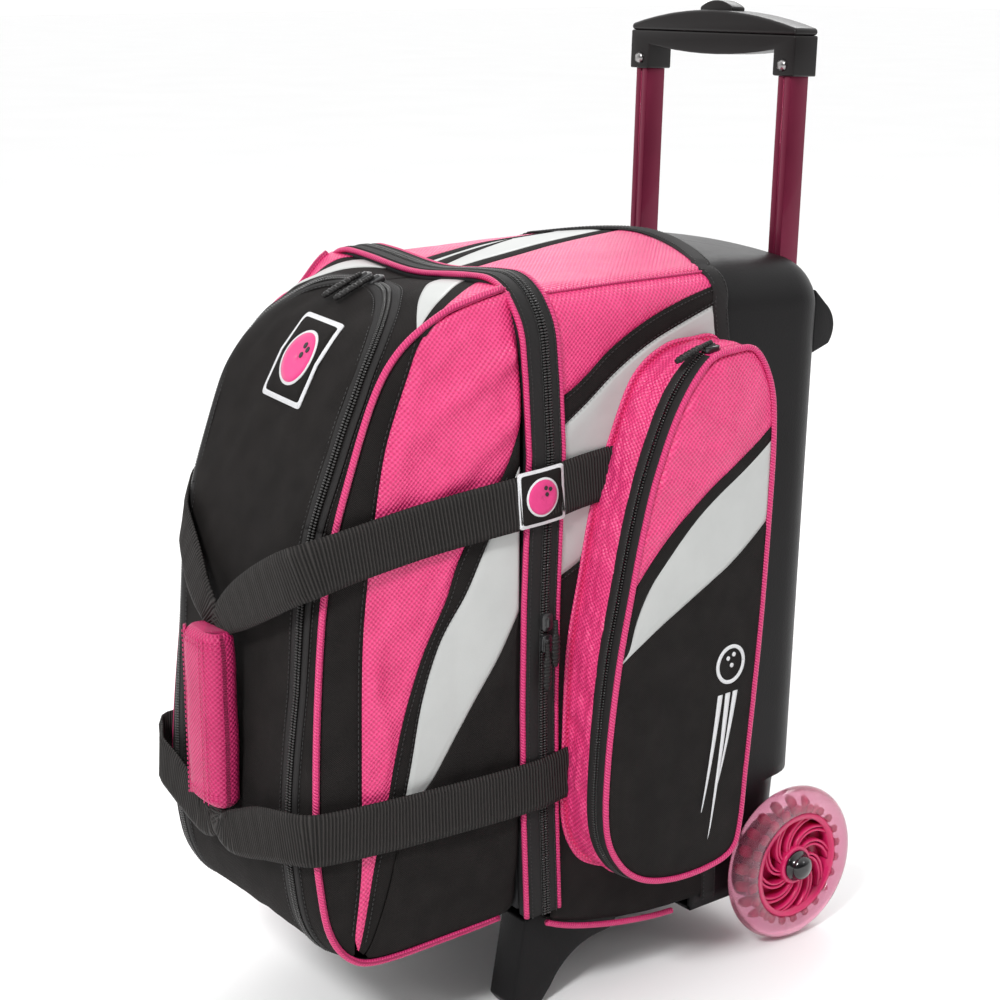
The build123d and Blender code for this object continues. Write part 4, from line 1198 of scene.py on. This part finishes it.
def tyre_profile():
    """The tyre's round tread with a flat shoulder beside the hub."""
    tread = [(136.1 + 11.8 * math.cos(a), 51.5 + 12.0 * math.sin(a)) for a in np.linspace(0, math.pi, 22)]
    return [(145.6, 43.9), (147.2, 45.5), *tread, (125.0, 45.5), (126.6, 43.9)]


def swirl(side, turn):
    """Path of one curved spoke from the hub's boss to its rim."""
    steps = np.linspace(0, 1, 16)
    return np.array([(side * 137.0, WHEEL_Y + r * math.sin(a), WHEEL_Z + r * math.cos(a))
                     for r, a in zip(13.5 + 27.0 * steps, turn + side * (0.95 * steps**1.3))])


HUB_RINGS = (("rim", rounded_profile(127, 145.4, 39.2, 43.8, 1.6)),
             ("boss", rounded_profile(127.2, 144.6, 11.0, 15.8, 1.6)),
             ("web", rounded_profile(130.5, 132.5, 15.0, 40.0, 0.4)))
FIN = [(1.1, -5.6), (1.1, 4.6), (0.5, 5.5), (-0.5, 5.5), (-1.1, 4.6), (-1.1, -5.6)]
CAP = [(144.8, 2), (144.8, 12.4), (146.2, 12.4), (146.4, 10.4), (151.0, 10.2), (153.6, 8.6), (155.4, 5.6),
       (156.2, 2.0), (156.3, 0.3)]


def wheel(name, side, lug_count=22, spoke_count=10):
    """Clear tyre with moulded lugs, swirled hub and its boss."""
    body = f"wheel_{name}"
    attach(turned(f"tyre_round_{name}", tyre_profile(), side, tyre_clear, 128), body, f"tyre_{name}")
    for part, profile in HUB_RINGS:
        attach(turned(f"hub_{part}_{name}", profile, side, hub_pink), body,
               *([f"hub_{name}"] if part == "rim" else []))
    lugs, along, out = [], [], []
    for k in range(lug_count):
        s, c = math.sin(2 * math.pi * k / lug_count), math.cos(2 * math.pi * k / lug_count)
        for x in (131.5, 140.5):
            lugs.append((side * x, WHEEL_Y + 47.3 * s, WHEEL_Z + 47.3 * c))
            along.append((0, c, -s))
            out.append((0, s, c))
    attach(beads(f"hub_lugs_{name}", lugs, along, out, (9.0, 6.0, 8.0), hub_pink), body)
    for k in range(spoke_count):
        for tag, shift in (("a", 0.0), ("b", 0.17)):
            path = swirl(side, 2 * math.pi * k / spoke_count + shift)
            scale = np.stack([np.linspace(0.9, 1.15, len(path)), np.ones(len(path))], 1)
            sweep(f"spoke_{tag}{k}_{name}", path, (side, 0, 0), FIN, hub_pink, body, scale=scale)


for name, side in SIDES:
    wheel(name, side)
    attach(turned(f"axle_cap_{name}", CAP, side, nut_black, 48, False), "bag", f"axle_nut_{name}")


# ---------------------------------------------------------------- hard parts with softened edges
def rounded_copy(node, name, width, material, body, segments=2):
    """A copy of a CAD part with its sharp edges rounded over."""
    source = frame["nodes"][node]
    obj = source.copy()
    obj.data = source.data.copy()
    obj.name = name
    obj.parent = None
    obj.hide_render = False
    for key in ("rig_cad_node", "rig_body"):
        if key in obj:
            del obj[key]
    bpy.context.scene.collection.objects.link(obj)
    obj.data.materials.clear()
    obj.data.materials.append(material)
    weld = obj.modifiers.new("weld", "WELD")
    weld.merge_threshold = 0.02 * MM
    flat = obj.modifiers.new("flat", "DECIMATE")
    flat.decimate_type = "DISSOLVE"
    flat.angle_limit = math.radians(1.5)
    bevel = obj.modifiers.new("bevel", "BEVEL")
    bevel.width = width * MM
    bevel.segments = segments
    bevel.angle_limit = math.radians(32)
    bevel.harden_normals = False
    apply_modifiers(obj)
    for layer in list(obj.data.uv_layers):
        obj.data.uv_layers.remove(layer)
    obj.data.polygons.foreach_set("use_smooth", [True] * len(obj.data.polygons))
    obj.data.set_sharp_from_angle(angle=math.radians(40))
    return attach(obj, body, node)


def fuller_bumper(obj, side):
    """The bumper stands a little wider and further back than its plain block."""
    middle_x, front_y = side * 76, 244
    for vertex in obj.data.vertices:
        x, y, z = np.array(vertex.co) / MM
        x = middle_x + side * 10.5 + (x - middle_x) * 1.22
        vertex.co = metres((x, front_y + (y - front_y) * 1.55, z))


RIVET_Z = 688.0
RIVET_Y = 202.1 + 0.032 * RIVET_Z
rounded_copy("grip_lower", "handle_grip_lower", 3.2, grip_plastic, "handle", 4)
rounded_copy("grip_upper", "handle_grip_upper", 3.0, grip_plastic, "handle", 4)
rounded_copy("release_button", "handle_button", 1.6, grip_plastic, "button", 3)
for name, side in SIDES:
    rounded_copy(f"kick_foot_{name}", f"foot_{name}", 1.8, shell_plastic, "bag", 3)
    fuller_bumper(rounded_copy(f"rear_bumper_{name}", f"bumper_{name}", 2.4, shell_plastic, "bag", 3), side)
    rounded_copy(f"inner_tube_{name}", f"handle_tube_{name}", 0.7, tube_burgundy, "handle")
    rivets = [(side * 80.5, RIVET_Y + gap, RIVET_Z) for gap in (-12.9, 12.9)]
    out = [(0, -1, 0), (0, 1, 0)]
    attach(beads(f"leg_rivets_{name}", rivets, [(1, 0, 0)] * 2, out, (9.4, 9.4, 4.4), steel), "handle")

# Parts that keep their own shape and only take a material
for node, material in (("rear_liner", board_grey), ("outer_tube_left", tube_plain),
                       ("outer_tube_right", tube_plain), ("axle", steel), ("bearings_left", steel),
                       ("bearings_right", steel)):
    mesh = frame["nodes"][node].data
    mesh.materials.clear()
    mesh.materials.append(material)


# ---------------------------------------------------------------- zipper sliders and pulls
def zip_pull(tag, origin, ahead, out):
    """Cord pull over a CAD pull: it runs along ahead, away from its hinge."""
    steps = np.linspace(0, 1, 60)
    path = (np.array(origin, float) + np.array(ahead, float) * (-1 + 34 * steps)[:, None]
            + np.array(out, float) * (0.6 * np.sin(steps * math.pi))[:, None])
    width = 0.55 + 0.45 * ease((steps - 0.25) / 0.15) - 0.35 * ease((steps - 0.88) / 0.12)
    rib = 1 + 0.10 * np.sin(steps * 2 * math.pi * 9) * (steps > 0.35)
    scale = np.stack([width * rib, (0.75 + 0.25 * width) * rib], 1)
    node = body = f"pull_{tag}"
    sweep(f"cord_{tag}", path, out, circle(3.4, 12, 0.6), pull_black, body, node, scale=scale)


def cad_frame(node):
    """Middle of a CAD part and its size, in millimetres."""
    low, high = (np.array(corner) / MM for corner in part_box(node))
    return (low + high) / 2, high - low


for tag in ("main_low", "main_high"):
    rounded_copy(f"slider_{tag}", f"runner_{tag}", 0.8, zip_metal, "bag")
    middle, size = cad_frame(f"pull_{tag}")
    zip_pull(tag, middle + [0, 0, size[2] / 2 - 1], (0, 0, -1), (1, 0, 0))
for tag, x in (("flap_left", -8.0), ("flap_right", 8.0)):
    middle, size = cad_frame(f"slider_{tag}")
    seat, front = (np.array(lid_wrap(x, u, 3.0)) for u in (636.0, 602.0))
    runner = rounded_copy(f"slider_{tag}", f"runner_{tag}", 0.8, zip_metal, "flap")
    runner.location += Vector(metres(seat - middle))
    ahead = (front - seat) / np.linalg.norm(front - seat)
    up = np.cross((-1.0, 0.0, 0.0), ahead)
    zip_pull(tag, seat + up * 3.2 + ahead * 2, ahead, up)
for tag in ("pocket_left", "pocket_right"):
    rounded_copy(f"slider_{tag}", f"runner_{tag}", 0.8, zip_metal, "bag")
    middle, size = cad_frame(f"pull_{tag}")
    zip_pull(tag, middle + [0, 15, -1.5], (0, -0.955, -0.297), (0, -0.297, 0.955))


# ---------------------------------------------------------------- patches
def disc(radius, a0=0.0, b0=0.0, count=40):
    """Points round a circle, the last one on the first."""
    angles = np.linspace(0, 2 * math.pi, count + 1)
    return np.stack([a0 + radius * np.cos(angles), b0 + radius * np.sin(angles)], 1)


def soft_box(a, b):
    """Points round a rectangle with barely rounded corners, the last one on the first."""
    angles = np.linspace(0, 2 * math.pi, 49)
    x, y = np.cos(angles), np.sin(angles)
    return np.stack([a * np.sign(x) * np.abs(x) ** 0.1, b * np.sign(y) * np.abs(y) ** 0.1], 1)


def patch(name, surface, middle, half_a, half_b, turn, body, lift):
    """A woven badge with a white border and a plain ball with three finger holes."""
    c, s = math.cos(turn), math.sin(turn)

    def spot(a, b, rise):
        return surface(middle[0] + c * a - s * b, middle[1] + s * a + c * b, lift + rise)

    def lay(tag, shape, rise, material, thick):
        rings = np.linspace(0, 1, 5)
        grid = np.array([[spot(a * r, b * r, rise) for r in rings] for a, b in shape[:-1]])
        flat = np.array([[(a * r, b * r) for r in rings] for a, b in shape[:-1]])
        obj = grid_object(f"{name}_{tag}", grid, flat, material, thick, (0, 0, 250), True)
        attach(obj, body, slot="webbing")

    radius = min(half_a, half_b) * 0.62
    lay("border", soft_box(half_a, half_b), 0.0, thread_white, 1.0)
    lay("ground", soft_box(half_a * 0.87, half_b * 0.88), 0.45, fabric_black, 0.6)
    lay("rim", disc(radius * 1.12), 0.8, thread_white, 0.6)
    lay("ball", disc(radius), 1.1, thread_bright, 0.6)
    for k, (a, b) in enumerate(((0.18, 0.5), (0.5, 0.38), (0.24, 0.12))):
        a, b = a * radius, b * radius
        grid = np.array([[spot(a + (p - a) * r, b + (q - b) * r, 1.6) for r in np.linspace(0, 1, 4)]
                         for p, q in disc(radius * 0.12, a, b)])
        hole = grid_object(f"{name}_hole_{k}", grid, grid[:, :, :2], thread_black, 0.4, (0, 0, 250))
        attach(hole, body, slot="webbing")


def strap_face(side):
    """Outer face of the upper strap near its sewn end, as (y, z)."""
    def at(a, b, out):
        x = np.interp(np.clip(a, -80, 0), (-100, -58, -20, 14), (127, 129.6, 127.6, 125.6))
        return side * (float(x) + 1.0 + out), a, b
    return at


patch("front_badge", lid_wrap, (10, 556), 28, 31, -0.06, "flap", 2.2)
for name, side in SIDES:
    patch(f"strap_badge_{name}", strap_face(side), (-56, 408.5), 20, 20, 0.06, f"loop_{name}", 0.6)


def motif(name, side):
    """A plain rolling ball with trailing lines on the pocket's face."""
    face, door = pocket_face(side), f"door_{name}"

    def lay(tag, outline, inner):
        ends = np.array([[face(*p, 1.3), face(*q, 1.3)] for p, q in zip(outline, inner)])
        grid = np.array([[a * (1 - t) + b * t for t in (0, 0.5, 1)] for a, b in ends])
        obj = grid_object(f"motif_{tag}_{name}", grid, grid[:, :, 1:], thread_white, 0.7, (0, 60, 280))
        attach(obj, door, slot="webbing")

    lay("ball", disc(15, 86, 268, 39), disc(12.2, 86, 268, 39))
    for k, (y, z) in enumerate(((83, 273), (89, 275), (87, 267))):
        lay(f"hole_{k}", disc(1.7, y, z, 15), disc(0.1, y, z, 15))
    rows = np.linspace(0, 1, 24)
    for k, (y, length) in enumerate(((76, 88), (84, 112), (92, 70))):
        lean, half = y - 12 * rows - 4 * rows**2, 2.3 * (1 - rows) ** 0.7
        lay(f"trail_{k}", *(np.stack([lean + way * half, 246 - length * rows], 1) for way in (-1, 1)))


for name, side in SIDES:
    motif(name, side)


# ---------------------------------------------------------------- inside: linings and foam
def rounded_ring(half_x, half_z, radius, count):
    """A closed rounded rectangle as (x, z) points."""
    points = []
    for k, (sx, sz) in enumerate(((1, 1), (-1, 1), (-1, -1), (1, -1))):
        for a in np.linspace(0, math.pi / 2, count):
            turn = a + k * math.pi / 2
            points.append((sx * (half_x - radius) + radius * math.cos(turn),
                           sz * (half_z - radius) + radius * math.sin(turn)))
    return np.array([*points, points[0]])


ring = resample(rounded_ring(113.4, 214, 24, 12), 150)[:-1]
depths = np.linspace(-39.5, 118, 42)
lining = np.array([[(x * (1 + 0.004 * math.sin(y / 9 + z / 37)), y,
                     299.5 + z * (1 + 0.0015 * math.sin(y / 13 + x / 21))) for y in depths] for x, z in ring])
flat = np.stack(np.meshgrid(np.arange(len(ring)) * 8.6, depths, indexing="ij"), -1)
attach(grid_object("body_lining", lining, flat, lining_black, 0.9, None, True), "bag")

BALL_R = 109.0


def cushion(name, node, half, middle, low, high, hole, dish, material):
    """A foam block with rounded edges and either a dished seat or a hole through it."""
    count = 72
    angles = np.linspace(0, 2 * math.pi, count, endpoint=False)
    cos, sin = np.cos(angles), np.sin(angles)
    reach = (np.abs(cos / half[0]) ** 9 + np.abs(sin / half[1]) ** 9) ** (-1 / 9)

    def seat(r):
        return high - (math.sqrt(BALL_R**2 - r * r) - math.sqrt(BALL_R**2 - hole**2))

    # Rings of the section as (radius, share of the outline, height)
    if dish:
        rings = [(r, None, seat(r)) for r in (1, 16, 30, 42, 52, 59, hole - 0.6)]
        rings += [(hole + 1.5, None, high + 0.2)]
    else:
        rings = [(hole + 1.4, None, low + 1.2), (hole, None, (low + high) / 2),
                 (hole + 1.4, None, high - 1.2), (hole + 4, None, high)]
    rings += [(None, 0.85, high), (None, 0.94, high - 0.3), (None, 0.985, high - 1.8), (None, 1.0, high - 5),
              (None, 1.0, low + 5), (None, 0.985, low + 1.6), (None, 0.93, low)]
    rings += [(1, None, low)] if dish else [(hole + 4, None, low)]
    rows = []
    for radius, share, z in rings:
        r = np.full(count, float(radius)) if share is None else np.maximum(reach * share, hole + 2.5)
        r = r + 0.5 * np.sin(angles * 7 + z) * (share is not None)
        rows.append(np.stack([middle[0] + r * cos, middle[1] + r * sin, np.full(count, float(z))], 1))
    points = np.array(rows)
    index = np.arange(len(rings) * count).reshape(len(rings), count)
    nxt = np.roll(index, -1, 1)
    faces = []
    for j in range(len(rings) - 1 if dish else len(rings)):
        n = (j + 1) % len(rings)
        faces += np.stack([index[j], nxt[j], nxt[n], index[n]], 1)[:, ::-1].tolist()
    if dish:
        faces += [index[0].tolist(), index[-1][::-1].tolist()]
    obj = make_object(name, points.reshape(-1, 3), faces, material, points[:, :, :2].reshape(-1, 2))
    attach(obj, "bag", node, slot="foam")


cushion("ball_cup", "ball_seat", (87, 63), (0, 56), 55, 102.5, 62.0, True, foam)
cushion("ball_shelf", "ball_divider", (113, 87), (0, 80), 294.5, 309.5, 62.0, False, lining_black)


def board_sheet(name, half, heights, columns, depth, thick, material, *nodes):
    """An upright sheet on the lid's rear board."""
    grid = np.array([[(x, depth(x, z), z) for z in heights] for x in np.linspace(-half, half, columns)])
    attach(grid_object(name, grid, grid[:, :, [0, 2]], material, thick, (0, -300, 300)), "lid", *nodes)


BOARD_Z, POCKET_HALF = 318, 92
board_sheet("lid_board_cover", 112.5, np.linspace(93, 543, 60), 34,
            lambda x, z: -60.4 - 1.2 * math.cos(x / 113 * 1.5) * math.cos((z - BOARD_Z) / 226 * 1.5),
            3.0, lining_black, "lid_board")
points = np.array([(x, -59.6, BOARD_Z + z) for x, z in rounded_ring(104, 216, 16, 12)])
stitch_line("board_stitch", resample(points, 260), (0, 1, 0), "lid", lift=0.2)
board_sheet("board_pocket", POCKET_HALF, np.linspace(120, 270, 24), 30,
            lambda x, z: -56.6 + 2.2 * math.cos(x / POCKET_HALF * 1.5) * math.sin((z - 120) / 150 * 3.1),
            1.0, fabric_black)
points = np.array([(x, -56.0, 270.5) for x in np.linspace(-POCKET_HALF, POCKET_HALF, 40)])
sweep("board_pocket_binding", points, (0, 1, 0), flat_section(9, 1.6, 0.4), piping_pink, "lid")


# ---------------------------------------------------------------- camera, floor and light
def build_camera():
    """A three-quarter view from the front right, a little above the object."""
    data = bpy.data.cameras.new("camera")
    data.lens = 70.2
    data.sensor_width = 36.0
    data.clip_end = 50.0
    obj = bpy.data.objects.new("camera", data)
    obj.location = Vector((1137.675, -863.037, 758.769)) * MM
    azimuth, height = math.radians(52.582), math.radians(15.283)
    level = math.cos(height)
    away = Vector((math.sin(azimuth) * level, -math.cos(azimuth) * level, math.sin(height)))
    obj.rotation_euler = away.to_track_quat("Z", "Y").to_euler()
    bpy.context.scene.collection.objects.link(obj)
    bpy.context.scene.camera = obj


def area_light(name, place, target, size, power):
    """A large soft light."""
    data = bpy.data.lights.new(name, "AREA")
    data.energy = power
    data.size = size
    obj = bpy.data.objects.new(name, data)
    obj.location = place
    obj.rotation_euler = (Vector(place) - Vector(target)).to_track_quat("Z", "Y").to_euler()
    bpy.context.scene.collection.objects.link(obj)


def build_floor():
    """A wide pale floor, just under the wheels."""
    made = Nodes("floor_pale", (0.93, 0.93, 0.93), 0.7)
    made.mix_colour(made.noise(0.002, 2.0), (0.90, 0.90, 0.90), (0.94, 0.94, 0.94))
    half, low = 30000.0, -0.2
    corners = [(-half, -half, low), (half, -half, low), (half, half, low), (-half, half, low)]
    make_object("floor", corners, [(0, 1, 2, 3)], made.material)


WORLD_FRONT, WORLD_BACK = 0.0, 1.32


def build_world():
    """Surroundings that light the object from above and behind, and look pale from everywhere."""
    world = bpy.data.worlds.new("studio")
    world.use_nodes = True
    nodes, links = world.node_tree.nodes, world.node_tree.links
    background = nodes["Background"]
    background.inputs[0].default_value = (1, 1, 1, 1)
    place = nodes.new("ShaderNodeTexCoord")
    facing = nodes.new("ShaderNodeVectorMath")
    facing.operation = "DOT_PRODUCT"
    facing.inputs[1].default_value = (-0.55, 0.42, 0.72)
    level = nodes.new("ShaderNodeMapRange")
    for socket, value in (("From Min", -0.35), ("From Max", 0.55),
                          ("To Min", WORLD_FRONT), ("To Max", WORLD_BACK)):
        level.inputs[socket].default_value = value
    seen = nodes.new("ShaderNodeLightPath")
    shown = nodes.new("ShaderNodeMath")
    shown.operation = "MAXIMUM"
    links.new(place.outputs["Generated"], facing.inputs[0])
    links.new(facing.outputs["Value"], level.inputs["Value"])
    links.new(level.outputs["Result"], shown.inputs[0])
    links.new(seen.outputs["Is Camera Ray"], shown.inputs[1])
    links.new(shown.outputs[0], background.inputs[1])
    bpy.context.scene.world = world


build_camera()
build_floor()
build_world()
area_light("key", (1.3, -2.3, 2.6), (0, 0, 0.35), 0.6, 84)
area_light("side", (2.8, 1.3, 1.9), (0, 0, 0.3), 0.8, 8)
area_light("rim", (-1.4, 1.8, 2.4), (0, 0.1, 0.4), 1.2, 22)
bpy.context.scene.view_settings.view_transform = "Standard"

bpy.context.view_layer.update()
